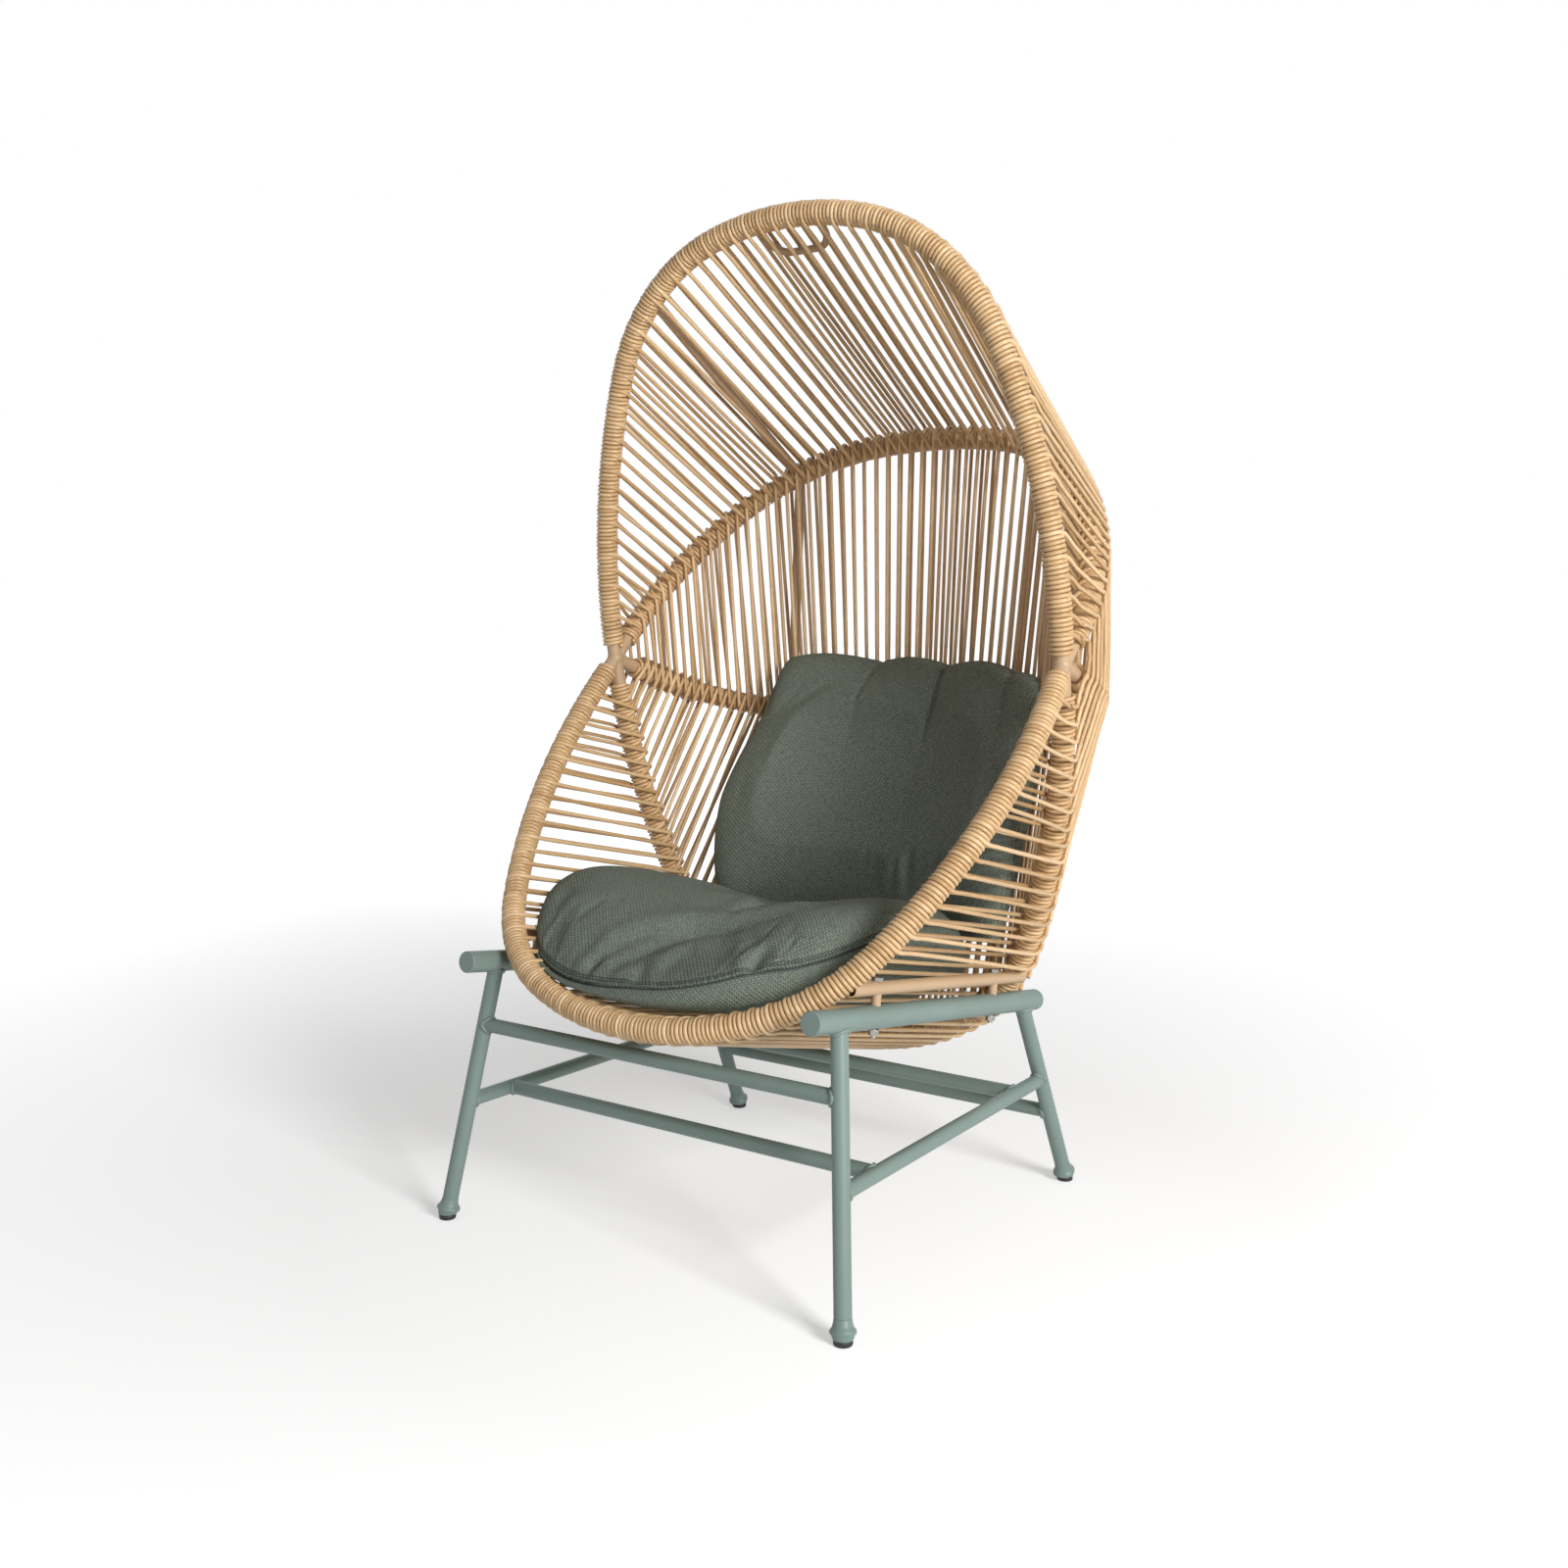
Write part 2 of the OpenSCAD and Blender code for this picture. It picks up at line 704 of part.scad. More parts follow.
// The two ends of a string that lies on one face of both hoops
function string_ends(first, second, share_first, share_second, face) =
    let (
        a = hoop_at(first, share_first),
        b = hoop_at(second, share_second),
        run = b[0] - a[0],
        off_a = face * cord_ride * unit(cross(run, a[1])),
        off_b = face * cord_ride * unit(cross(run, b[1]))
    )
    [a[0] + off_a, b[0] + off_b];

function bay_strings(first, second, spread_first, spread_second, phase) = [
    for (face = [OUTSIDE, INSIDE])
        for (step = [first_string_step : string_steps - first_string_step])
            let (
                from = (step + phase - face * spread_first / 2) / string_steps,
                to = (step + phase - face * spread_second / 2) / string_steps,
                least = (first_string_step - 0.5) / string_steps
            )
            if (from > least && to > least && from < 1 - least && to < 1 - least)
                string_ends(first, second, from, to, face)
];

// A string belongs to the sector of its middle: beyond the left ribs, between the ribs, or right
LEFT = -1;
MIDDLE = 0;
RIGHT = 1;
function sector_of(ends, rib_half_spacing) =
    let (x = (ends[0][0] + ends[1][0]) / 2)
    x < -rib_half_spacing ? LEFT : x > rib_half_spacing ? RIGHT : MIDDLE;

module strings(list, sector, rib_half_spacing) {
    color(CORD)
        for (ends = list)
            if (sector_of(ends, rib_half_spacing) == sector) cord(ends[0], ends[1]);
}

module cord(a, b) {
    v = b - a;
    translate(a)
        rotate([0, acos(v[2] / norm(v)), atan2(v[1], v[0])])
            cylinder(d = cord_diameter, h = norm(v), $fn = CORD_FACETS);
}

// Distance of a point from the centre line of a bar between two points
function from_bar(point, a, b) =
    let (share = (point - a) * (b - a) / ((b - a) * (b - a)))
    norm(point - mix(a, b, max(0, min(1, share))));

// Whether a string passes a bar of diameter d without touching it
function passes_bar(ends, a, b, d) =
    min([for (t = [0 : STRING_CHECK : 1]) from_bar(mix(ends[0], ends[1], t), a, b)]) >
        (d + cord_diameter) / 2 + STRING_GAP;

// Whether a seat string passes the seat rail, the side rail and the lumbar rib of one side
function passes_frame(ends, side) =
    let (drop = seat_rail_drop * rail_down(side))
    passes_bar(ends, rim_joint(side) + drop, seat_joint(side) + drop, seat_rail_diameter) &&
    passes_bar(ends, rail_end(side, 0), rail_end(side, rail_length), rail_diameter) &&
    passes_bar(
        ends, rib_end(lower_hoop, lower_rib_half_spacing, side),
        rib_end(seat_hoop, seat_rib_half_spacing, side), rib_diameter
    );

canopy_list = bay_strings(front_arch, upper_hoop, rim_pair_spread, inner_pair_spread, 0);
back_list = bay_strings(upper_hoop, lower_hoop, inner_pair_spread, inner_pair_spread, 0.5);
lumbar_list = bay_strings(lower_hoop, seat_hoop, inner_pair_spread, inner_pair_spread, 0);
seat_list = [
    for (ends = bay_strings(seat_hoop, front_rim, inner_pair_spread, rim_pair_spread, 0.5))
        if (passes_frame(ends, -1) && passes_frame(ends, 1)) ends
];

module canopy_strings(sector) {
    strings(canopy_list, sector, (arch_rib_half_spacing + upper_rib_half_spacing) / 2);
}

module back_strings(sector) {
    strings(back_list, sector, (upper_rib_half_spacing + lower_rib_half_spacing) / 2);
}

module lumbar_strings(sector) {
    strings(lumbar_list, sector, (lower_rib_half_spacing + seat_rib_half_spacing) / 2);
}

module seat_strings(sector) {
    strings(seat_list, sector, (seat_rail_front_half_spacing + seat_rail_rear_half_spacing) / 2);
}

// ---------- base ----------
function rail_end(side, distance) =
    rim_joint(side) + side_rail_drop * rail_down(side) +
        (distance - rail_front_reach) * rail_run(side);
function seat_rail_over(side, distance) =
    rail_end(side, distance) - (side_rail_drop - seat_rail_drop) * rail_down(side);

function front_leg_top(side) = rail_end(side, front_leg_inset);
function rear_leg_top(side) = rail_end(side, rail_length - rear_leg_inset);
function front_foot(side) = [side * front_foot_half_spacing, hub_set_back - front_foot_advance, 0];
function rear_foot(side) = [side * rear_foot_half_spacing, hub_set_back + rear_foot_set_back, 0];
// The point of a leg's centre line at a height above the floor
function at_height(foot, top, height) = mix(foot, top, height / (top[2] - foot[2]));
function on_front_leg(side, height) = at_height(front_foot(side), front_leg_top(side), height);
function on_rear_leg(side, height) = at_height(rear_foot(side), rear_leg_top(side), height);

module rail_bar(side, d) {
    bar(rail_end(side, 0), rail_end(side, rail_length), d);
}

module front_leg_bar(side, d) {
    bar(front_foot(side), front_leg_top(side), d);
}

module rear_leg_bar(side, d) {
    bar(rear_foot(side), rear_leg_top(side), d);
}

function stretcher_front(side) = on_front_leg(side, stretcher_front_height);
function stretcher_rear(side) = on_rear_leg(side, stretcher_rear_height);
function stretcher_run(side) = unit(stretcher_rear(side) - stretcher_front(side));

module stretcher_bar(side, d) {
    bar(stretcher_front(side), stretcher_rear(side), d);
}

// The holes for the two mounting bolts of one side, through the seat rail and the side rail
module bolt_holes(side) {
    for (distance = [front_bolt_distance, rear_bolt_distance]) {
        down = rail_down(side);
        bar(
            seat_rail_over(side, distance) - seat_rail_diameter * down,
            rail_end(side, distance) + rail_diameter * down, bolt_diameter + bolt_hole_play
        );
    }
}

module side_rail(side) {
    color(BASE_PAINT)
        difference() {
            rail_bar(side, rail_diameter);
            rail_bore(side);
            bolt_holes(side);
        }
}

module rail_bore(side) {
    run = rail_run(side);
    bar(rail_end(side, 0) - run, rail_end(side, rail_length) + run, rail_diameter - 2 * rail_wall);
}

// A cap: a rounded disc outside the tube and a plug inside it. It points along +Z.
module end_cap() {
    edge = cap_thickness * CAP_ROUND_SHARE;
    plug = rail_diameter / 2 - rail_wall;
    rotate_extrude($fn = TUBE_FACETS)
        union() {
            translate([0, -cap_plug_depth])
                square([plug, cap_plug_depth + cap_thickness]);
            square([rail_diameter / 2, cap_thickness - edge]);
            square([rail_diameter / 2 - edge, cap_thickness]);
            translate([rail_diameter / 2 - edge, cap_thickness - edge])
                intersection() {
                    circle(r = edge, $fn = TUBE_FACETS);
                    square(edge);
                }
        }
}

module rail_end_caps() {
    color(BASE_PAINT)
        for (side = SIDES) {
            run = rail_run(side);
            aim(rail_end(side, 0), -run) end_cap();
            aim(rail_end(side, rail_length), run) end_cap();
        }
}

// Moves a piece that points along +Z to a point and aims it in a direction
module aim(place, way) {
    translate(place)
        rotate([0, acos(way[2]), atan2(way[1], way[0])])
            children();
}

// The space below the top of a glide, for cutting the leg off level
module below_glide(foot) {
    width = 3 * collar_diameter;
    depth = 2 * glide_height + collar_diameter;
    translate([foot[0] - width / 2, foot[1] - width / 2, glide_height - depth])
        cube([width, width, depth]);
}

module leg_bore(foot, top) {
    past = unit(top - foot);
    bar(foot - past, top + past, leg_diameter - 2 * leg_wall);
}

module front_leg(side) {
    color(BASE_PAINT)
        difference() {
            front_leg_bar(side, leg_diameter);
            leg_bore(front_foot(side), front_leg_top(side));
            rail_bar(side, rail_diameter);
            below_glide(front_foot(side));
        }
}

module rear_leg(side) {
    color(BASE_PAINT)
        difference() {
            rear_leg_bar(side, leg_diameter);
            leg_bore(rear_foot(side), rear_leg_top(side));
            rail_bar(side, rail_diameter);
            below_glide(rear_foot(side));
        }
}

module side_stretcher(side) {
    color(BASE_PAINT)
        difference() {
            stretcher_bar(side, bar_diameter);
            stretcher_bar(side, bar_diameter - 2 * leg_wall);
            front_leg_bar(side, leg_diameter);
            rear_leg_bar(side, leg_diameter);
        }
}

// A crossbar runs between mirrored points and is cut to the tubes that it is welded to
module crossbar(right_end) {
    left_end = [-right_end[0], right_end[1], right_end[2]];
    color(BASE_PAINT)
        difference() {
            tube(left_end, right_end, bar_diameter, leg_wall);
            children();
        }
}

module front_upper_crossbar() {
    crossbar(on_front_leg(1, front_upper_bar_height))
        for (side = SIDES) front_leg_bar(side, leg_diameter);
}

module rear_lower_crossbar() {
    crossbar(on_rear_leg(1, rear_lower_bar_height))
        for (side = SIDES) rear_leg_bar(side, leg_diameter);
}

module front_lower_crossbar() {
    crossbar(stretcher_front(1) + front_lower_bar_inset * stretcher_run(1))
        for (side = SIDES) stretcher_bar(side, bar_diameter);
}

module rear_upper_crossbar() {
    crossbar(stretcher_rear(1) - rear_upper_bar_inset * stretcher_run(1))
        for (side = SIDES) stretcher_bar(side, bar_diameter);
}

// A flared collar round the foot of a leg, cut off level on top of the glide
module foot_collar(foot, top) {
    way = unit(top - foot);
    flare = (collar_diameter - collar_neck_diameter) / collar_height;
    difference() {
        aim(foot, way)
            rotate([0, 0, BAR_ROLL])
                cylinder(
                    d1 = collar_diameter + flare * glide_height, d2 = collar_neck_diameter,
                    h = glide_height + collar_height, $fn = TUBE_FACETS
                );
        bar(foot - way, foot + 2 * (glide_height + collar_height) * way, leg_diameter);
        below_glide(foot);
    }
}

module foot_collars() {
    color(BASE_PAINT)
        for (side = SIDES) {
            foot_collar(front_foot(side), front_leg_top(side));
            foot_collar(rear_foot(side), rear_leg_top(side));
        }
}

// A glide stands straight on the floor, with its stem up inside the leg
module glide(foot, top) {
    seat = at_height(foot, top, glide_height);
    translate([seat[0], seat[1], 0])
        cylinder(d = glide_diameter, h = glide_height, $fn = TUBE_FACETS);
    stem_top = at_height(foot, top, glide_height + glide_stem_length);
    way = unit(stem_top - seat);
    bar(seat - STEM_ROOT * way, stem_top, glide_stem_diameter);
}

module foot_glides() {
    color(GLIDE_BLACK)
        for (side = SIDES) {
            glide(front_foot(side), front_leg_top(side));
            glide(rear_foot(side), rear_leg_top(side));
        }
}

// ---------- shell mounting ----------
function bolt_places() = [
    for (side = SIDES)
        for (distance = [front_bolt_distance, rear_bolt_distance])
            [side, distance]
];

module mounting_spacers() {
    color(SHELL_PAINT)
        for (place = bolt_places())
            difference() {
                bar(
                    seat_rail_over(place[0], place[1]), rail_end(place[0], place[1]),
                    spacer_diameter
                );
                bolt_holes(place[0]);
                seat_rail_bar(place[0], seat_rail_diameter);
                rail_bar(place[0], rail_diameter);
            }
}

module hexagon(height) {
    cylinder(d = hex_width / cos(30), h = height, $fn = 6);
}

washer_seat = rail_diameter / 2 + BEARING_JOINT;
head_seat = seat_rail_diameter / 2 + BEARING_JOINT;

module mounting_bolts() {
    color(STEEL)
        for (place = bolt_places()) {
            down = rail_down(place[0]);
            head_foot = seat_rail_over(place[0], place[1]) - head_seat * down;
            nut_foot = rail_end(place[0], place[1]) +
                (washer_seat + washer_thickness + nut_height + bolt_end) * down;
            bar(head_foot, nut_foot, bolt_diameter);
            aim(head_foot, -down) hexagon(bolt_head_height);
        }
}

module mounting_nuts() {
    color(STEEL)
        for (place = bolt_places()) {
            down = rail_down(place[0]);
            nut_top = rail_end(place[0], place[1]) + (washer_seat + washer_thickness) * down;
            difference() {
                aim(nut_top, down) hexagon(nut_height);
                bar(nut_top - down, nut_top + 2 * nut_height * down, bolt_diameter);
            }
        }
}

module mounting_washers() {
    color(STEEL)
        for (place = bolt_places()) {
            down = rail_down(place[0]);
            washer_top = rail_end(place[0], place[1]) + washer_seat * down;
            tube(
                washer_top, washer_top + washer_thickness * down, washer_diameter,
                (washer_diameter - bolt_diameter - bolt_hole_play) / 2
            );
        }
}

// ---------- cushions ----------
// What a cushion keeps clear of, measured square to the strings from the line of two hoops
lining = cord_ride + cord_diameter / 2 + cushion_gap;

// How much a hoop's height or set-back changes for each millimetre further from the middle
function drift(hoop, x, axis) = hoop_at_x(hoop, abs(x) + 1)[axis] - hoop_at_x(hoop, x)[axis];

// Height at which a cushion clears the seat strings
function seat_surface(x, y) =
    let (
        a = hoop_at_x(front_rim, x),
        b = hoop_at_x(seat_hoop, x),
        slope = (b[2] - a[2]) / (b[1] - a[1]),
        climb = drift(seat_hoop, x, 2)
    )
    a[2] + slope * (y - a[1]) + lining * sqrt(1 + slope * slope + climb * climb);

// Steepness of the strings between the seat hoop and the lower back hoop, set-back for height
function lumbar_lean(x) =
    let (a = hoop_at_x(seat_hoop, x), b = hoop_at_x(lower_hoop, x))
    (b[1] - a[1]) / (b[2] - a[2]);

function wall_lining(x) =
    let (lean = lumbar_lean(x), turn = drift(lower_hoop, x, 1))
    lining * sqrt(1 + lean * lean + turn * turn);

// Set-back at which a cushion clears the strings of the back
function back_surface(x, z) =
    let (
        low = hoop_at_x(lower_hoop, x),
        high = hoop_at_x(upper_hoop, x),
        lean = z < low[2] ? lumbar_lean(x) : (high[1] - low[1]) / (high[2] - low[2])
    )
    low[1] + lean * (z - low[2]) - wall_lining(x);

// Height above which a cushion's edge clears the strings behind the seat
function wall_surface(x, y) =
    let (low = hoop_at_x(lower_hoop, x))
    low[2] + (y + wall_lining(x) - low[1]) / lumbar_lean(x);

function smooth_max(a, b, blend) =
    let (h = max(blend - abs(a - b), 0) / blend)
    max(a, b) + h * h * blend / 4;

CUSHION_COLUMNS = 48;
// How square the seat cushion's plan is: 2 is an ellipse
PLAN_POWER = 2.5;
// How full the crown stays towards its edge, over the front and elsewhere
FRONT_FULLNESS = 2;
SIDE_FULLNESS = 9;
// Height over which the underside rounds into the corner behind the seat
CORNER_BLEND = 60;
seat_centre_y = hub_set_back + (seat_cushion_rear - seat_cushion_front) / 2;
seat_half_depth = (seat_cushion_rear + seat_cushion_front) / 2;

// A place on the seat cushion's plan, at a share of the way from its middle to its round edge
function seat_plan(angle, share) =
    let (
        c = cos(angle),
        s = sin(angle),
        x = sign(c) * pow(abs(c), 2 / PLAN_POWER),
        y = sign(s) * pow(abs(s), 2 / PLAN_POWER)
    )
    [
        share * seat_cushion_half_width * x,
        seat_centre_y + share * seat_half_depth * y
    ];

function seat_underside(x, y) =
    let (behind = max(0, (y - seat_centre_y) / seat_half_depth))
    smooth_max(seat_surface(x, y), wall_surface(x, y), CORNER_BLEND) +
        seat_rear_lift * behind * behind;

// The seat cushion's rings, each [share of the plan, share of the boxing]
seat_draw = boxing_draw / seat_cushion_half_width;
SEAT_RINGS = [
    [0.4, 0], [0.75, 0], [0.97, 0], [1, 0.12], [1 - seat_draw, 0.5], [1, 0.88],
    [0.985, 1], [0.93, 1], [0.84, 1], [0.7, 1], [0.5, 1], [0.25, 1]
];

function seat_point(angle, ring) =
    let (
        p = seat_plan(angle, ring[0]),
        front = max(0, -sin(angle)),
        fullness = mix(SIDE_FULLNESS, FRONT_FULLNESS, front * front),
        crown = ring[1] < 1 ? 0 : 1 - pow(ring[0], fullness)
    )
    [p[0], p[1], seat_underside(p[0], p[1]) + ring[1] * seat_boxing_height + crown * seat_crown];

// A closed skin over rings of equal count, with a pole before the first and after the last
module ringed_solid(rings, first_pole, last_pole) {
    count = len(rings[0]);
    rows = len(rings);
    points = concat([for (ring = rings) each ring], [first_pole, last_pole]);
    last = rows * count;
    faces = [
        for (r = [0 : rows - 2])
            for (c = [0 : count - 1])
                let (
                    n = (c + 1) % count,
                    a = r * count + c,
                    b = r * count + n,
                    d = a + count,
                    e = b + count
                )
                each [[e, b, a], [d, e, a]],
        for (c = [0 : count - 1]) [last, c, (c + 1) % count],
        for (c = [0 : count - 1])
            [last + 1, (rows - 1) * count + (c + 1) % count, (rows - 1) * count + c]
    ];
    polyhedron(points = points, faces = faces, convexity = 6);
}

module seat_cushion() {
    rings = [
        for (ring = SEAT_RINGS)
            [for (c = [0 : CUSHION_COLUMNS - 1]) seat_point(c * 360 / CUSHION_COLUMNS, ring)]
    ];
    middle = seat_underside(0, seat_centre_y);
    color(FABRIC)
        ringed_solid(
            rings,
            [0, seat_centre_y, middle],
            [0, seat_centre_y, middle + seat_boxing_height + seat_crown]
        );
}

// The back cushion is two sheets of a grid, one in front and one behind, sewn along their edge.
// Across the grid u runs from -1 to 1, and up the grid v runs from 0 to 1.
BACK_ROWS = 18;
COLUMNS_PER_LOBE = 8;
back_columns = COLUMNS_PER_LOBE * back_lobes;
// Shares of the half width that the top and the bottom are narrower than the widest place
TOP_NARROWING = 0.1;
BOTTOM_NARROWING = 0.16;
WIDEST_SHARE = 0.42;
// Distance over which the edges round over, and how squarely
EDGE_ROUND = 72;
EDGE_POWER = 2.2;
// Share of the thickness that lies behind the edge seam
REAR_SHARE = 0.4;
// How steeply the top corners drop and the lower corners rise
CORNER_POWER = 5;
LOWER_CORNER_RISE = 34;

// None on the seams between the lobes, 1 on the crown of a lobe
function lobe_wave(u) = abs(sin(90 * back_lobes * (u + 1)));

function back_half_width(v) =
    let (
        above = max(0, v - WIDEST_SHARE) / (1 - WIDEST_SHARE),
        below = max(0, WIDEST_SHARE - v) / WIDEST_SHARE
    )
    back_cushion_half_width *
        (1 - TOP_NARROWING * above * above - BOTTOM_NARROWING * below * below);

back_cushion_top = hub_height + back_cushion_rise;
back_cushion_bottom = back_cushion_top - back_cushion_height;

function back_place(u, v) =
    let (
        corner = pow(abs(u), CORNER_POWER),
        high = back_cushion_top - corner_drop * corner - scallop_depth * (1 - lobe_wave(u)),
        low = back_cushion_bottom + LOWER_CORNER_RISE * corner
    )
    [u * back_half_width(v), mix(low, high, v)];

function edge_rise(distance) =
    let (t = min(1, distance / EDGE_ROUND))
    pow(1 - pow(1 - t, EDGE_POWER), 1 / EDGE_POWER);

function back_point(r, c, front) =
    let (
        u = 2 * c / back_columns - 1,
        v = r / BACK_ROWS,
        place = back_place(u, v),
        full = edge_rise((1 - abs(u)) * back_half_width(v)) *
            edge_rise(min(v, 1 - v) * back_cushion_height),
        swell = front ? REAR_SHARE + (1 - REAR_SHARE) * full : REAR_SHARE * (1 - full),
        channel = front ? channel_depth * (1 - lobe_wave(u)) * full : 0
    )
    [
        place[0],
        back_surface(place[0], place[1]) - swell * back_cushion_thickness + channel,
        place[1]
    ];

function on_edge(r, c) = r == 0 || r == BACK_ROWS || c == 0 || c == back_columns;
function front_index(r, c) = r * (back_columns + 1) + c;
function rear_index(r, c) =
    on_edge(r, c) ? front_index(r, c)
        : front_index(BACK_ROWS, back_columns) + (r - 1) * (back_columns - 1) + c;

// A cell of the grid as two triangles. The cut turns with the quarter of the cushion, so that
// at each corner it runs inwards.
function cell_halves(r, c) =
    let (
        a = [r, c],
        b = [r, c + 1],
        d = [r + 1, c],
        e = [r + 1, c + 1],
        left = 2 * c < back_columns,
        lower = 2 * r < BACK_ROWS
    )
    left == lower ? [[a, d, e], [a, e, b]] : [[a, d, b], [b, d, e]];

module back_cushion() {
    points = [
        for (r = [0 : BACK_ROWS])
            for (c = [0 : back_columns]) back_point(r, c, true),
        for (r = [1 : BACK_ROWS - 1])
            for (c = [1 : back_columns - 1]) back_point(r, c, false)
    ];
    faces = [
        for (r = [0 : BACK_ROWS - 1])
            for (c = [0 : back_columns - 1])
                each concat(
                    [
                        for (f = cell_halves(r, c))
                            [for (p = f) front_index(p[0], p[1])]
                    ],
                    [
                        for (f = cell_halves(r, c))
                            [for (p = [f[2], f[1], f[0]]) rear_index(p[0], p[1])]
                    ]
                )
    ];
    color(FABRIC)
        polyhedron(points = points, faces = faces, convexity = 6);
}

hub(-1);  // hub_left
hub(1);  // hub_right
hoop_tube(front_arch);  // front_arch_tube
hoop_tube(upper_hoop);  // upper_back_tube
hoop_tube(lower_hoop);  // lower_back_tube
hoop_tube(seat_hoop);  // seat_hoop_tube
hoop_tube(front_rim);  // front_rim_tube
front_arch_winding();
upper_back_winding();
lower_back_winding();
seat_hoop_winding();
front_rim_winding();
canopy_strings(LEFT);  // canopy_strings_left
canopy_strings(MIDDLE);  // canopy_strings_middle
canopy_strings(RIGHT);  // canopy_strings_right
back_strings(LEFT);  // back_strings_left
back_strings(MIDDLE);  // back_strings_middle
back_strings(RIGHT);  // back_strings_right
lumbar_strings(LEFT);  // lumbar_strings_left
lumbar_strings(MIDDLE);  // lumbar_strings_middle
lumbar_strings(RIGHT);  // lumbar_strings_right
seat_strings(LEFT);  // seat_strings_left
seat_strings(MIDDLE);  // seat_strings_middle
seat_strings(RIGHT);  // seat_strings_right
canopy_rib(-1);  // canopy_rib_left
canopy_rib(1);  // canopy_rib_right
back_rib(-1);  // back_rib_left
back_rib(1);  // back_rib_right
lumbar_rib(-1);  // lumbar_rib_left
lumbar_rib(1);  // lumbar_rib_right
seat_rail(-1);  // seat_rail_left
seat_rail(1);  // seat_rail_right
hanging_bracket();
seat_cushion();
back_cushion();
side_rail(-1);  // side_rail_left
side_rail(1);  // side_rail_right
rail_end_caps();
front_leg(-1);  // front_leg_left
front_leg(1);  // front_leg_right
rear_leg(-1);  // rear_leg_left
rear_leg(1);  // rear_leg_right
side_stretcher(-1);  // side_stretcher_left
side_stretcher(1);  // side_stretcher_right
front_upper_crossbar();
front_lower_crossbar();
rear_upper_crossbar();
rear_lower_crossbar();
foot_collars();
foot_glides();
mounting_spacers();
mounting_bolts();
mounting_nuts();
mounting_washers();
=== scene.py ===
import math

import bpy
import numpy as np
from bpy.props import (
    FloatProperty, FloatVectorProperty, IntProperty, PointerProperty, StringProperty
)
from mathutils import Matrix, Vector


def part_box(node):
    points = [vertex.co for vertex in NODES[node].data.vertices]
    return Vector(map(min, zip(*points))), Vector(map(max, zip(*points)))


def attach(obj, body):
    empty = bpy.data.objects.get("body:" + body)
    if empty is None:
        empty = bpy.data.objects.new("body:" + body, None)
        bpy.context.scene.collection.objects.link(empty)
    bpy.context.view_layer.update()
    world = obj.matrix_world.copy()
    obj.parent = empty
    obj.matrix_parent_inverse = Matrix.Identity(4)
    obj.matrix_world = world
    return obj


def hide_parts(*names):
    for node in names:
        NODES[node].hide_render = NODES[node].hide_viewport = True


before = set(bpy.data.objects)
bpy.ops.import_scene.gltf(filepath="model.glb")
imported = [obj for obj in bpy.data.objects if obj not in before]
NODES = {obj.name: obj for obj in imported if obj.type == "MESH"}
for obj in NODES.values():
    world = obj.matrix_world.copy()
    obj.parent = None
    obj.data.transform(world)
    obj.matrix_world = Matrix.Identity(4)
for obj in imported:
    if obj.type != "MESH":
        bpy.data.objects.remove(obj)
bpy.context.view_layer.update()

bl_info = {
    "name": "Corded Egg Chair",
    "version": (1, 0, 0),
    "blender": (4, 5, 0),
    "location": "3D View > Sidebar > Egg Chair",
    "description": "Winds, strings, upholsters and finishes an egg chair round its fixed frame",
    "category": "Add Mesh",
}

CHAIR, SEAT, BACK = "chair", "seat_cushion", "back_cushion"
OUTSIDE, INSIDE = 1, -1


# ---------- settings ----------
def length(name, description, default):
    """A distance in metres."""
    return FloatProperty(
        name=name, description=description, default=default, unit="LENGTH", precision=5
    )


def lengths(name, description, default, **settings):
    """Several distances in metres."""
    return FloatVectorProperty(
        name=name, description=description, size=len(default), default=default, unit="LENGTH",
        **settings
    )


def amount(name, description, default, **settings):
    """A share, an angle or a strength."""
    return FloatProperty(name=name, description=description, default=default, **settings)


def number(name, description, default):
    """A whole number."""
    return IntProperty(name=name, description=description, default=default)


def colour(name, description, default):
    """A colour as an sRGB hex code."""
    return StringProperty(name=name, description=description, default=default, maxlen=7)


def hoop(name, description, default):
    """A hoop as plane tilt, lean, side radius, side turn, shoulder radius and shoulder turn."""
    text = description + ": tilt, lean, side radius, side turn, shoulder radius, shoulder turn"
    return FloatVectorProperty(name=name, description=text, size=6, default=default, precision=4)


class ShellSettings(bpy.types.PropertyGroup):
    hub_half_span: length("Hub half span", "Middle plane to each hub's centre", 0.4446)
    hub_set_back: length("Hub set-back", "How far the hubs lie behind the origin", 0.0483)
    hub_height: length("Hub height", "Hubs above the floor", 0.8864)
    hub_stub: length("Hub stub", "Straight stub from a hub's centre to the hoop", 0.030)
    tube_diameter: length("Hoop tube", "Outer diameter of the hoop tube", 0.025)
    front_arch: hoop(
        "Front arch", "Front edge of the hood", (97.93, 1.02, 1.180, 22.74, 0.3298, 54)
    )
    upper_hoop: hoop(
        "Upper back hoop", "Rear of the hood", (45.89, 2.45, 0.6068, 37.11, 0.3461, 46.5)
    )
    lower_hoop: hoop(
        "Lower back hoop", "Small of the back", (-18.87, -1.09, 0.624, 9.25, 0.2154, 41.9)
    )
    seat_hoop: hoop(
        "Seat hoop", "Rear of the bowl", (-79.21, -1.62, 1.1946, 21.71, 0.2864, 35.4)
    )
    front_rim: hoop(
        "Front rim", "Front edge of the bowl", (-132.76, 4.07, 0.9709, 29.9, 0.2924, 41.5)
    )
    paint: colour("Shell paint", "Taupe powder coat of the shell's tubes", "#c2a482")


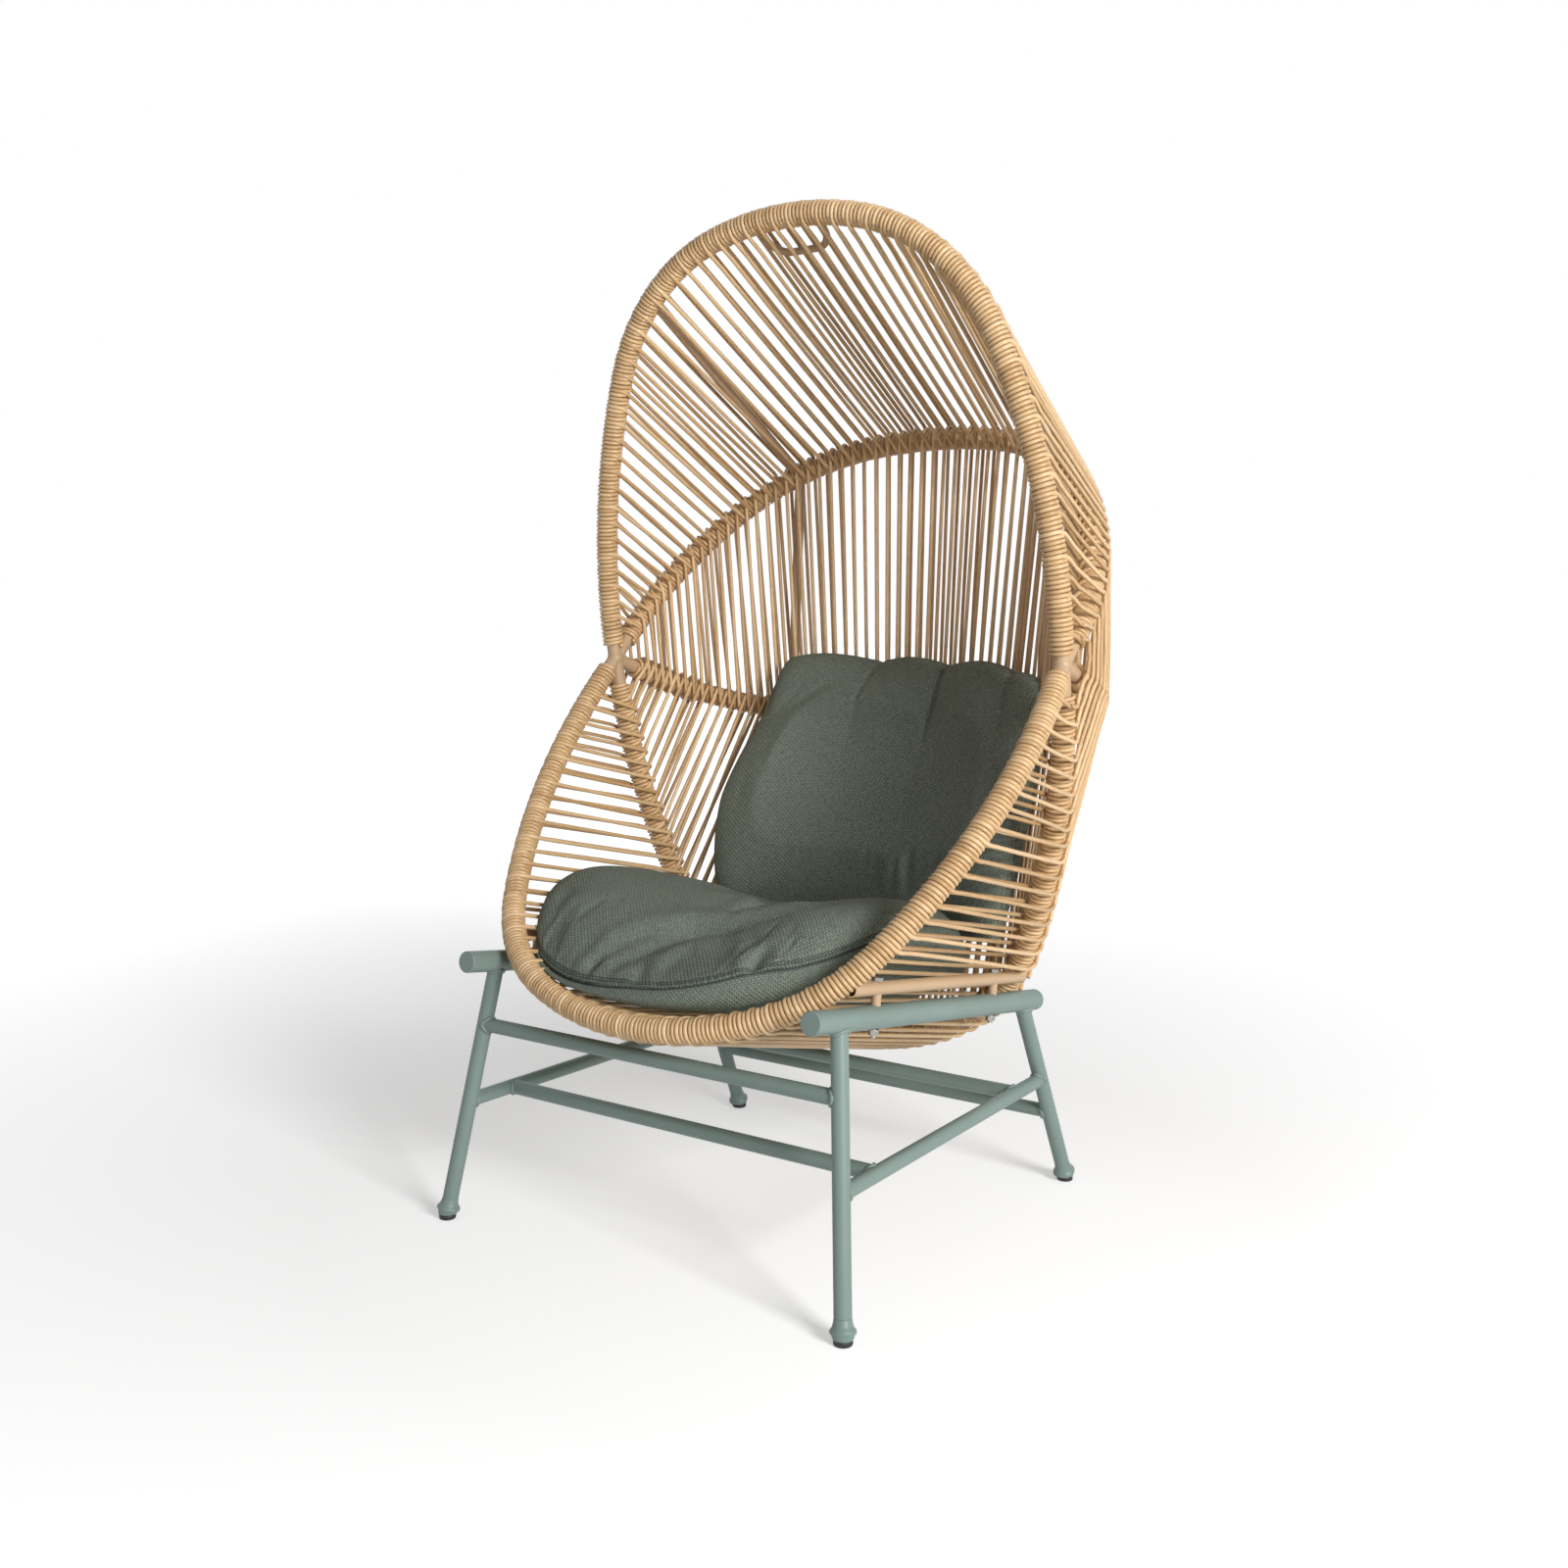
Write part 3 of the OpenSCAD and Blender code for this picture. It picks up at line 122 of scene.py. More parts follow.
class CordSettings(bpy.types.PropertyGroup):
    diameter: length("Cord", "Diameter of the cord", 0.0069)
    pitch: length("Turn pitch", "Distance between neighbouring turns", 0.00705)
    bare_arch: length("Bare arch end", "Hub to the first turn on the front arch", 0.017)
    bare_rim: length("Bare rim end", "Hub to the first turn on the front rim", 0.022)
    bare_inner: length("Bare inner end", "Hub to the first turn on the inner hoops", 0.046)
    steps: number("String steps", "Pairs that would fill a bay", 66)
    first_step: number("First step", "First inner string from a hub", 3)
    first_outer_step: number("First outer step", "First outer string from a hub", 2)
    rim_spread: amount("Rim spread", "Share of a step between a pair's cords on the rims", 0.5)
    inner_spread: amount("Inner spread", "Share of a step between a pair's cords inside", 0.2)
    light: colour("Light cord", "Lightest tan of the cord", "#e8c799")
    dark: colour("Dark cord", "Darkest tan of the cord", "#c29b6b")


class CushionSettings(bpy.types.PropertyGroup):
    seat_half_width: length("Seat half width", "Half of the seat cushion's width", 0.320)
    seat_front: length("Seat front", "Front edge in front of the hubs", 0.4495)
    seat_rear: length("Seat rear", "Rear edge behind the hubs", 0.1285)
    boxing: length("Boxing", "Height of the boxed side between the seams", 0.038)
    boxing_bulge: length("Boxing bulge", "How far the boxed side swells out", 0.007)
    crown: length("Seat crown", "Rise of the crown above the upper seam", 0.126)
    rear_lift: length("Rear lift", "How far the slope behind the seat lifts its rear", 0.040)
    gap: length("Gap", "Clearance between a cushion and the cords", 0.002)
    back_half_width: length("Back half width", "Half of the back cushion's width", 0.322)
    back_rise: length("Back rise", "Top edge above the hubs", 0.0056)
    back_height: length("Back height", "Lower edge to top edge", 0.442)
    back_thickness: length("Back thickness", "Thickness on the crown of the lobes", 0.118)
    lobes: number("Lobes", "Lobes across the back cushion", 4)
    channel: length("Channel depth", "Depth of the sewn channels", 0.014)
    thread: length("Thread spacing", "Threads of the weave, drawn twice as coarse to show", 0.0017)
    yarn_light: colour("Light yarn", "Lighter yarn of the melange", "#8f988c")
    yarn_dark: colour("Dark yarn", "Darker yarn of the melange", "#575f56")
    sewing: colour("Sewing thread", "Thread of the stitching", "#33383a")


class BaseSettings(bpy.types.PropertyGroup):
    rail_diameter: length("Rail", "Outer diameter of the side rails", 0.034)
    seat_rail_diameter: length("Seat rail", "Outer diameter of the shell's seat rails", 0.020)
    leg_diameter: length("Leg", "Outer diameter of the legs", 0.025)
    bar_diameter: length("Bar", "Outer diameter of the crossbars and stretchers", 0.023)
    weld: length("Weld bead", "Radius of the weld beads", 0.0032)
    collar: length("Collar", "Diameter of the foot collars", 0.037)
    glide_diameter: length("Glide diameter", "Diameter of the glides", 0.027)
    glide_height: length("Glide height", "Height of the glides", 0.009)
    rail_length: length("Rail length", "Length of the side rails", 0.634)
    rail_reach: length("Rail reach", "Side rails in front of the front rim's joint", 0.094)
    front_leg_inset: length("Front leg inset", "Rail's front end to the front leg", 0.065)
    rear_leg_inset: length("Rear leg inset", "Rail's rear end to the rear leg", 0.045)
    spacer: length("Spacer", "Height of the sleeves between seat rails and side rails", 0.013)
    front_foot: lengths(
        "Front foot", "Half spacing of the front feet and their place in front of the hubs",
        (0.3805, 0.4905)
    )
    rear_foot: lengths(
        "Rear foot", "Half spacing of the rear feet and their place behind the hubs",
        (0.3506, 0.2502)
    )
    stretcher_heights: lengths(
        "Stretcher heights", "Side stretchers on the front and rear legs", (0.191, 0.196)
    )
    crossbars: lengths(
        "Crossbars", "Height of the front and the rear crossbar on the legs, and inset of the "
        "front and the rear crossbar on the stretchers", (0.313, 0.134, 0.091, 0.093)
    )
    paint: colour("Base paint", "Sage powder coat of the base", "#7c8f89")
    glide: colour("Glide", "Moulded plastic of the glides", "#1b1c1d")
    glide_scuffed: colour("Scuffed glide", "The same where the floor has scuffed it", "#34363a")
    zinc: colour("Zinc", "Plating of the bolts", "#b4b3ad")
    zinc_dull: colour("Dull zinc", "The same where the drum has dulled it", "#8a8983")


class StageSettings(bpy.types.PropertyGroup):
    azimuth: amount("Camera azimuth", "Turn of the view round the chair, in degrees", 35.54)
    elevation: amount("Camera elevation", "Height of the view above level, in degrees", 5.77)
    place: lengths(
        "Camera place", "Where the camera stands", (1.4539, -2.0791, 0.9420),
        subtype="TRANSLATION"
    )
    lens: amount("Lens", "Focal length in millimetres", 35.52)
    daylight: amount("Daylight", "Strength of the even light", 0.28)
    key: amount("Key lamp", "Power of the large lamp", 215, unit="POWER")
    key_place: lengths("Key lamp's place", "Where the large lamp hangs", (4.46, -1.80, 2.18))
    key_size: length("Key lamp's size", "Side of the large lamp's square", 1.6)
    floor: colour("Floor", "Colour of the floor", "#ffffff")
    floor_lift: amount("Floor lift", "Light that the floor adds to what it shows, near by", 0.4)
    floor_lift_far: amount("Far floor lift", "The same, far from the chair", 0.95)


# ---------- small geometry ----------
def unit(v):
    v = np.asarray(v, float)
    return v / np.linalg.norm(v, axis=-1, keepdims=True)


def mix(a, b, t):
    return a + (b - a) * t


def smooth(t):
    t = np.clip(t, 0, 1)
    return t * t * (3 - 2 * t)


def bezier(a, b, c, d, count):
    """Points on a cubic curve, without its first point."""
    t = np.linspace(0, 1, count + 1)[1:, None]
    return (1 - t) ** 3 * a + 3 * (1 - t) ** 2 * t * b + 3 * (1 - t) * t * t * c + t ** 3 * d


def circle(points, u, v):
    """Directions round a circle, from two directions square to each other."""
    turn = np.arange(points)[:, None] * 2 * math.pi / points
    return np.cos(turn) * u + np.sin(turn) * v


def add_attribute(mesh, name, values):
    """Stores a number for each point of a mesh."""
    layer = mesh.attributes.new(name, "FLOAT", "POINT")
    layer.data.foreach_set("value", np.asarray(values, np.float32))


def make_mesh(name, points, faces, body, finish, replaced, attributes):
    """Makes a mesh piece that rides on a body, with its finish and the nodes it stands for."""
    mesh = bpy.data.meshes.new(name)
    mesh.from_pydata(np.asarray(points).tolist(), [], [list(map(int, f)) for f in faces])
    mesh.polygons.foreach_set("use_smooth", [True] * len(mesh.polygons))
    for key, values in attributes.items():
        add_attribute(mesh, key, values)
    mesh.update()
    piece = bpy.data.objects.new(name, mesh)
    bpy.context.scene.collection.objects.link(piece)
    piece.data.materials.append(finish)
    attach(piece, body)
    if replaced:
        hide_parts(*replaced)
    return piece


def path_frames(path):
    """Two directions square to a path at each point, turned as little as possible."""
    run = unit(np.gradient(path, axis=0))
    first = np.array([1.0, 0, 0]) if abs(run[0][0]) < 0.8 else np.array([0, 1.0, 0])
    side = unit(first - run[0] * np.dot(first, run[0]))
    sides = [side]
    for i in range(1, len(path)):
        side = unit(side - run[i] * np.dot(side, run[i]))
        sides.append(side)
    sides = np.array(sides)
    return sides, np.cross(run, sides)


def ring_faces(rows, sides, closed):
    """Faces between rings of points, and from the last ring to the first where it is closed."""
    r, k = np.meshgrid(np.arange(rows if closed else rows - 1), np.arange(sides), indexing="ij")
    here, there, after = r * sides, (r + 1) % rows * sides, (k + 1) % sides
    quads = np.stack([here + k, here + after, there + after, there + k], -1)
    return quads.reshape(-1, 4).tolist()


CORD_SIDES = 8


def cord_points(path, radius, frames):
    """Rings of a cord along a path, and its faces, both ends closed."""
    across, up = frames
    points = path[:, None] + radius * circle(CORD_SIDES, across[:, None], up[:, None])
    faces = ring_faces(len(path), CORD_SIDES, False)
    faces.append(list(range(CORD_SIDES - 1, -1, -1)))
    faces.append([(len(path) - 1) * CORD_SIDES + i for i in range(CORD_SIDES)])
    return points.reshape(-1, 3), faces


class MeshPile:
    """Gathers tubes and other meshes into one piece, with a tone for each."""

    def __init__(self):
        self.points, self.faces, self.tones, self.count = [], [], [], 0

    def add(self, points, faces, tone=0.5):
        self.points.append(points)
        self.faces.extend([[i + self.count for i in f] for f in faces])
        self.tones.append(np.broadcast_to(np.asarray(tone, float), (len(points),)))
        self.count += len(points)

    def make(self, name, finish, slot, *replaced):
        """Makes the piece, which rides on the chair and stands for the replaced nodes."""
        make_mesh(
            name, np.concatenate(self.points), self.faces, CHAIR, finish, replaced,
            {"tone": np.concatenate(self.tones)}
        )


# ---------- hoops ----------
class Hoop:
    """A bent hoop in a plane through both hubs: stub, side bend, shoulder bend and crown."""

    def __init__(self, shape, shell):
        tilt, lean, side_radius, side_turn, shoulder_radius, shoulder_turn = shape
        self.tilt = math.radians(tilt)
        self.hub = np.array([0, shell.hub_set_back, shell.hub_height])
        headings = np.radians(np.cumsum([90 - lean, side_turn, shoulder_turn]))
        stub = shell.hub_stub
        start = np.array([shell.hub_half_span, 0]) + stub * np.array(
            [math.cos(headings[0]), math.sin(headings[0])]
        )
        second = start + self.step(side_radius, headings[0], headings[1])
        third = second + self.step(shoulder_radius, headings[1], headings[2])
        self.starts = np.array([start, second, third])
        self.headings = headings
        self.radii = np.array([side_radius, shoulder_radius, third[0] / math.sin(headings[2])])
        self.bends = self.radii * np.diff([*headings, math.pi])
        self.before = stub + np.array([0, self.bends[0], self.bends[0] + self.bends[1]])
        self.half = stub + self.bends.sum()
        self.length = 2 * self.half
        self.normal = np.array([0, -math.sin(self.tilt), math.cos(self.tilt)])

    @staticmethod
    def step(radius, start, end):
        """How far a bend moves the flat point while its heading turns."""
        return np.stack(
            [radius * (np.sin(end) - np.sin(start)), radius * (np.cos(start) - np.cos(end))], -1
        )

    def in_space(self, x, reach):
        y = self.hub[1] + reach * math.cos(self.tilt)
        z = self.hub[2] + reach * math.sin(self.tilt)
        return np.stack([x, y, z], -1)

    def at(self, along):
        """Centre line points and directions at distances from the right hub."""
        along = np.atleast_1d(np.asarray(along, float))
        mirrored = along > self.half
        half = np.where(mirrored, self.length - along, along)
        bend = np.searchsorted(self.before[1:], half, side="right")
        heading = self.headings[bend] + (half - self.before[bend]) / self.radii[bend]
        flat = self.starts[bend] + self.step(self.radii[bend], self.headings[bend], heading)
        x = np.where(mirrored, -flat[:, 0], flat[:, 0])
        heading = np.where(mirrored, 2 * math.pi - heading, heading)
        rise = np.sin(heading)
        run = [np.cos(heading), rise * math.cos(self.tilt), rise * math.sin(self.tilt)]
        return self.in_space(x, flat[:, 1]), np.stack(run, -1)

    def at_x(self, x):
        """Centre line points at distances from the middle plane."""
        x = np.asarray(x, float)
        side = np.abs(x)
        bend = np.where(side < self.starts[2][0], 2, np.where(side < self.starts[1][0], 1, 0))
        rise = np.sin(self.headings[bend]) + (side - self.starts[bend, 0]) / self.radii[bend]
        heading = math.pi - np.arcsin(np.clip(rise, -1, 1))
        flat = self.starts[bend] + self.step(self.radii[bend], self.headings[bend], heading)
        return self.in_space(x, flat[..., 1])


def shell_hoops():
    """The five hoops, by name."""
    shell = bpy.context.scene.egg_shell
    names = ["front_arch", "upper_hoop", "lower_hoop", "seat_hoop", "front_rim"]
    return {name: Hoop(getattr(shell, name), shell) for name in names}


# ---------- materials ----------
def linear(code):
    """The linear colour of an sRGB hex code, with full opacity."""
    channels = [int(code[i:i + 2], 16) / 255 for i in (1, 3, 5)]
    return [c / 12.92 if c <= 0.04045 else ((c + 0.055) / 1.055) ** 2.4 for c in channels] + [1]


def add_node(tree, kind, links=(), **settings):
    """Adds a node with its settings. A link is an input and a value or another node's output."""
    node = tree.nodes.new(kind)
    for key, value in settings.items():
        setattr(node, key, value)
    for key, value in links:
        if isinstance(value, bpy.types.NodeSocket):
            tree.links.new(value, node.inputs[key])
        else:
            node.inputs[key].default_value = value
    return node


def new_material(name, **sockets):
    """A material with a Principled shader, whose even values are set on its own sockets."""
    material = bpy.data.materials.new(name)
    material.use_nodes = True
    shader = material.node_tree.nodes["Principled BSDF"]
    for key, value in sockets.items():
        shader.inputs[key.replace("_", " ")].default_value = value
    return material, material.node_tree, shader


def in_object_space(tree):
    return add_node(tree, "ShaderNodeTexCoord").outputs["Object"]


# Real sizes of the patterns, from one blotch or grain to the next, in metres
RESIN_BLOTCH = 0.0125
DRAWN_GRAIN = 0.000625
COAT_CLOUD = 0.1111
ORANGE_PEEL = 0.0012
SCUFF = 0.0042
DRUM_MARK = 0.0014
# How much the blotches in the resin count against the tone of the whole cord
BLOTCH_SHARE = 0.4
# Threads over which the tone of a yarn holds
YARN_STRETCH = 6
# How much lighter a thread's crest is painted than the hollows beside it, which get painted shade
PAINTED_CREST_LIGHT = 0.75


def resin_cord():
    """Extruded polyethylene cord: smooth, a little waxy, its tan never quite even."""
    cords = bpy.context.scene.egg_cord
    material, tree, shader = new_material("resin_cord", Roughness=0.34, Specular_IOR_Level=0.5)
    place = in_object_space(tree)
    tone = add_node(tree, "ShaderNodeAttribute", attribute_name="tone").outputs["Fac"]
    blotch = add_node(
        tree, "ShaderNodeTexNoise", [("Vector", place), ("Scale", 1 / RESIN_BLOTCH), ("Detail", 3)]
    )
    both = add_node(
        tree, "ShaderNodeMath", [(0, blotch.outputs["Fac"]), (1, BLOTCH_SHARE), (2, tone)],
        operation="MULTIPLY_ADD"
    )
    mean = add_node(
        tree, "ShaderNodeMath", [(0, both.outputs[0]), (1, 1 / (1 + BLOTCH_SHARE))],
        operation="MULTIPLY"
    )
    ramp = add_node(tree, "ShaderNodeValToRGB", [("Fac", mean.outputs[0])])
    ramp.color_ramp.elements[0].position = 0.3
    ramp.color_ramp.elements[0].color = linear(cords.dark)
    ramp.color_ramp.elements[1].position = 0.7
    ramp.color_ramp.elements[1].color = linear(cords.light)
    tree.links.new(ramp.outputs["Color"], shader.inputs["Base Color"])
    grain = add_node(
        tree, "ShaderNodeTexNoise", [("Vector", place), ("Scale", 1 / DRAWN_GRAIN), ("Detail", 1)]
    )
    bump = add_node(
        tree, "ShaderNodeBump",
        [("Height", grain.outputs["Fac"]), ("Strength", 0.03), ("Distance", 0.0004)]
    )
    tree.links.new(bump.outputs["Normal"], shader.inputs["Normal"])
    return material


def powder_coat(name, code, roughness):
    """Powder coat on tube: satin, faintly clouded, with the fine dimples of orange peel."""
    material, tree, shader = new_material(name, Roughness=roughness, Specular_IOR_Level=0.5)
    place = in_object_space(tree)
    cloud = add_node(
        tree, "ShaderNodeTexNoise", [("Vector", place), ("Scale", 1 / COAT_CLOUD), ("Detail", 4)]
    )
    ramp = add_node(tree, "ShaderNodeValToRGB", [("Fac", cloud.outputs["Fac"])])
    for stop, shade in zip(ramp.color_ramp.elements, (0.9, 1.08)):
        stop.color = [min(1, c * shade) for c in linear(code)[:3]] + [1]
    tree.links.new(ramp.outputs["Color"], shader.inputs["Base Color"])
    peel = add_node(
        tree, "ShaderNodeTexNoise", [("Vector", place), ("Scale", 1 / ORANGE_PEEL), ("Detail", 1)]
    )
    bump = add_node(
        tree, "ShaderNodeBump",
        [("Height", peel.outputs["Fac"]), ("Strength", 0.15), ("Distance", 0.0004)]
    )
    tree.links.new(bump.outputs["Normal"], shader.inputs["Normal"])
    return material


def moulded_plastic():
    """Black moulded polyamide: dull, scuffed a little lighter."""
    base = bpy.context.scene.egg_base
    material, tree, shader = new_material("moulded_polyamide", Roughness=0.5)
    place = in_object_space(tree)
    scuff = add_node(
        tree, "ShaderNodeTexNoise", [("Vector", place), ("Scale", 1 / SCUFF), ("Detail", 5)]
    )
    ramp = add_node(tree, "ShaderNodeValToRGB", [("Fac", scuff.outputs["Fac"])])
    ramp.color_ramp.elements[0].position = 0.45
    ramp.color_ramp.elements[0].color = linear(base.glide)
    ramp.color_ramp.elements[1].position = 0.8
    ramp.color_ramp.elements[1].color = linear(base.glide_scuffed)
    tree.links.new(ramp.outputs["Color"], shader.inputs["Base Color"])
    return material


def zinc_plate():
    """Bright zinc on steel bolts: a grey metal, faintly brushed by the plating drum."""
    base = bpy.context.scene.egg_base
    material, tree, shader = new_material("zinc_plated_steel", Metallic=1.0)
    place = in_object_space(tree)
    brushed = add_node(
        tree, "ShaderNodeTexNoise", [("Vector", place), ("Scale", 1 / DRUM_MARK), ("Detail", 4)]
    )
    ramp = add_node(tree, "ShaderNodeValToRGB", [("Fac", brushed.outputs["Fac"])])
    ramp.color_ramp.elements[0].color = linear(base.zinc_dull)
    ramp.color_ramp.elements[1].color = linear(base.zinc)
    tree.links.new(ramp.outputs["Color"], shader.inputs["Base Color"])
    rough = add_node(
        tree, "ShaderNodeMapRange",
        [("Value", brushed.outputs["Fac"]), ("To Min", 0.24), ("To Max", 0.44)]
    )
    tree.links.new(rough.outputs["Result"], shader.inputs["Roughness"])
    return material


def melange_cloth():
    """Plain woven olefin in two grey-green yarns: matt, soft-edged, flecked thread by thread, with
    painted shade in the hollows between the threads.
    """
    cushions = bpy.context.scene.egg_cushions
    material, tree, shader = new_material(
        "melange_woven_olefin", Roughness=0.92, Specular_IOR_Level=0.06,
        Sheen_Weight=0.03, Sheen_Roughness=0.5
    )
    cloth = add_node(tree, "ShaderNodeAttribute", attribute_name="cloth").outputs["Vector"]
    threads = 1 / cushions.thread
    in_threads = add_node(
        tree, "ShaderNodeVectorMath", [(0, cloth), ("Scale", threads * math.pi / 2)],
        operation="SCALE"
    )
    parts = add_node(tree, "ShaderNodeSeparateXYZ", [(0, in_threads.outputs[0])])
    warp = add_node(tree, "ShaderNodeMath", [(0, parts.outputs[0])], operation="SINE")
    weft = add_node(tree, "ShaderNodeMath", [(0, parts.outputs[1])], operation="SINE")
    weave = add_node(
        tree, "ShaderNodeMath", [(0, warp.outputs[0]), (1, weft.outputs[0])], operation="MULTIPLY"
    )
    # Single threads of lighter and darker yarn, along warp and weft
    along = []
    long = threads / YARN_STRETCH
    for stretch in ((threads, long, 1), (long, threads, 1)):
        place = add_node(tree, "ShaderNodeMapping", [("Vector", cloth), ("Scale", stretch)])
        along.append(add_node(
            tree, "ShaderNodeTexNoise",
            [("Vector", place.outputs[0]), ("Scale", 1), ("Detail", 0)]
        ))
    # Where the warp lies on top, and where the weft
    over = add_node(
        tree, "ShaderNodeMapRange",
        [("Value", weave.outputs[0]), ("From Min", -0.4), ("From Max", 0.4)]
    )
    thread = add_node(
        tree, "ShaderNodeMix",
        [(0, over.outputs[0]), (2, along[0].outputs["Fac"]), (3, along[1].outputs["Fac"])]
    )
    # Painted light on each thread's crest and painted shade in the hollows between threads, added
    # to the yarn's tone
    crest = add_node(
        tree, "ShaderNodeMath", [(0, weave.outputs[0]), (1, weave.outputs[0])], operation="MULTIPLY"
    )
    yarn_fleck_and_shade = add_node(
        tree, "ShaderNodeMath", [(0, crest.outputs[0]), (1, PAINTED_CREST_LIGHT), (2, thread.outputs[0])],
        operation="MULTIPLY_ADD"
    )
    ramp = add_node(tree, "ShaderNodeValToRGB", [("Fac", yarn_fleck_and_shade.outputs[0])])
    ramp.color_ramp.elements[0].position = 0.28
    ramp.color_ramp.elements[0].color = linear(cushions.yarn_dark)
    ramp.color_ramp.elements[1].position = 1.0
    ramp.color_ramp.elements[1].color = linear(cushions.yarn_light)
    # Thread of the stitching, darker than the yarns
    stitch = add_node(tree, "ShaderNodeAttribute", attribute_name="stitch").outputs["Fac"]
    sewn = add_node(
        tree, "ShaderNodeMix",
        [(0, stitch), (6, ramp.outputs["Color"]), (7, linear(cushions.sewing))],
        data_type="RGBA"
    )
    tree.links.new(sewn.outputs[2], shader.inputs["Base Color"])
    bump = add_node(
        tree, "ShaderNodeBump",
        [("Height", weave.outputs[0]), ("Strength", 0.6), ("Distance", 0.001)]
    )
    tree.links.new(bump.outputs["Normal"], shader.inputs["Normal"])
    return material


MADE_MATERIALS = {}


def material(maker, *values):
    """Makes a material once and returns the same one after that."""
    made = bpy.data.materials.get(MADE_MATERIALS.get((maker, *values), ""))
    if made is None:
        made = maker(*values)
        MADE_MATERIALS[maker, *values] = made.name
    return made


def shell_paint():
    return material(powder_coat, "taupe_powder_coat", bpy.context.scene.egg_shell.paint, 0.42)


def base_paint():
    return material(powder_coat, "sage_powder_coat", bpy.context.scene.egg_base.paint, 0.45)


def finish_node(name, made):
    """Gives a carried-over node its material."""
    piece = NODES[name]
    piece.data.materials.clear()
    piece.data.materials.append(made)


# ---------- windings ----------
WINDINGS = {
    "front_arch": "front_arch_winding", "upper_hoop": "upper_back_winding",
    "lower_hoop": "lower_back_winding", "seat_hoop": "seat_hoop_winding",
    "front_rim": "front_rim_winding"
}
TUBES = [winding.replace("_winding", "_tube") for winding in WINDINGS.values()]


def bare_end(name):
    cords = bpy.context.scene.egg_cord
    ends = {"front_arch": cords.bare_arch, "front_rim": cords.bare_rim}
    return ends.get(name, cords.bare_inner)


def layer_radius(layers=0.5):
    """Distance from a hoop's centre line to the middle of its layer of turns, or further out."""
    shell, cords = bpy.context.scene.egg_shell, bpy.context.scene.egg_cord
    return shell.tube_diameter / 2 + layers * cords.diameter


def hoop_axes(hoop_shape, run):
    """The inward and upward directions square to a hoop's centre line."""
    up = np.broadcast_to(hoop_shape.normal, run.shape)
    return np.cross(up, run), up


TURN_POINTS = 16
# A turn under tension is a little thinner than the cord
TURN_SHARE = 0.95
# How unevenly the turns lie, out from the tube and along it, and the range of their tones
UNEVEN_OUT = 0.00022
UNEVEN_ALONG = 0.00028
TURN_TONES = (0.36, 0.66)
WINDING_SEED = 40


def wind(name, hoop_shape, rng):
    """One cord wound round a hoop in close turns."""
    cords = bpy.context.scene.egg_cord
    start = bare_end(name)
    span = hoop_shape.length - 2 * start
    turns = int(span / cords.pitch)
    phase = np.arange(turns * TURN_POINTS + 1) / TURN_POINTS
    centre, run = hoop_shape.at(start + phase * cords.pitch)
    inward, up = hoop_axes(hoop_shape, run)
    knots = np.arange(turns + 2)
    uneven = np.interp(phase, knots, rng.normal(0, UNEVEN_OUT, turns + 2))
    shift = np.interp(phase, knots, rng.normal(0, UNEVEN_ALONG, turns + 2))
    angle = 2 * math.pi * phase
    radial = inward * np.cos(angle)[:, None] + up * np.sin(angle)[:, None]
    path = centre + radial * (layer_radius() + uneven)[:, None] + run * shift[:, None]
    forward = unit(np.gradient(path, axis=0))
    across = unit(radial - forward * np.sum(radial * forward, 1)[:, None])
    radius = cords.diameter / 2 * TURN_SHARE
    points, faces = cord_points(path, radius, (across, np.cross(forward, across)))
    tone = np.interp(phase, knots, rng.uniform(*TURN_TONES, turns + 2))
    return points, faces, np.repeat(tone, CORD_SIDES)


class EGG_OT_windings(bpy.types.Operator):
    """Winds each hoop with one cord in close turns"""
    bl_idname = "egg.windings"
    bl_label = "Windings"

    def execute(self, context):
        cord = material(resin_cord)
        for i, (name, hoop_shape) in enumerate(shell_hoops().items()):
            pile = MeshPile()
            pile.add(*wind(name, hoop_shape, np.random.default_rng(WINDING_SEED + i)))
            pile.make(WINDINGS[name] + "_turns", cord, "cord", WINDINGS[name])
        return {"FINISHED"}


# ---------- strings ----------
STRAIGHT_POINTS = 7
# A string that is tucked among the turns: from where round the hoop to where it bends off, the
# way over which it bends off, and how far it lies out from the turns while it does
TUCK_FROM = math.radians(160)
TUCK_TO = math.radians(35)
TUCK_POINTS = 9
LEAVING = 0.042
LEAVING_HANDLES = (0.36, 0.5)
LEAVING_POINTS = 8
TUCK_OUT = 0.0004
LEAVING_OUT = 0.0012
# A string that crosses the turns: where round the hoop it ends and begins to sink in between
# them, how far it sinks, how steeply it can run along the hoop and how that slows down
CROSS_ENDS = (118, 140)
CROSS_SINK_FROM = math.radians(55)
CROSS_POINTS = 12
CROSS_SINK = 0.001
STEEPEST = 1.2
LEAST_LEVEL = 0.2
CROSS_DRIFT = 0.62
CROSS_SLOWING = 1.6
# A string that runs on over a hoop: how far from the hoop it starts to bend, the share of that
# by which its curve's handles are longer, and its points
BRIDGE_REACH = 0.024
BRIDGE_HANDLE = 1.25
BRIDGE_POINTS = 7
# Clearance between a string and a bar of the frame
BAR_GAP = 0.0015
# How far strings slip from their places, how far they stray between them, and their tones
STRING_SLIP = 0.0006
STRING_STRAY = 0.0024
STRING_TONES = (0.25, 0.75)
STRING_SEED = 7
# How far from the middle plane the side sectors of a bay begin
SECTOR_EDGES = {"canopy": 0.265, "back": 0.265, "lumbar": 0.265, "seat": 0.3315}


def on_turn(name, hoop_shape, along, direction):
    """Moves a place along a hoop to the nearest turn, where that turn faces a direction."""
    cords = bpy.context.scene.egg_cord
    _, run = hoop_shape.at(along)
    inward, up = hoop_axes(hoop_shape, run)
    angle = math.atan2(np.dot(direction, up[0]), np.dot(direction, inward[0])) / (2 * math.pi)
    start = bare_end(name)
    turn = round((along - start) / cords.pitch - angle)
    return start + (turn + angle) * cords.pitch


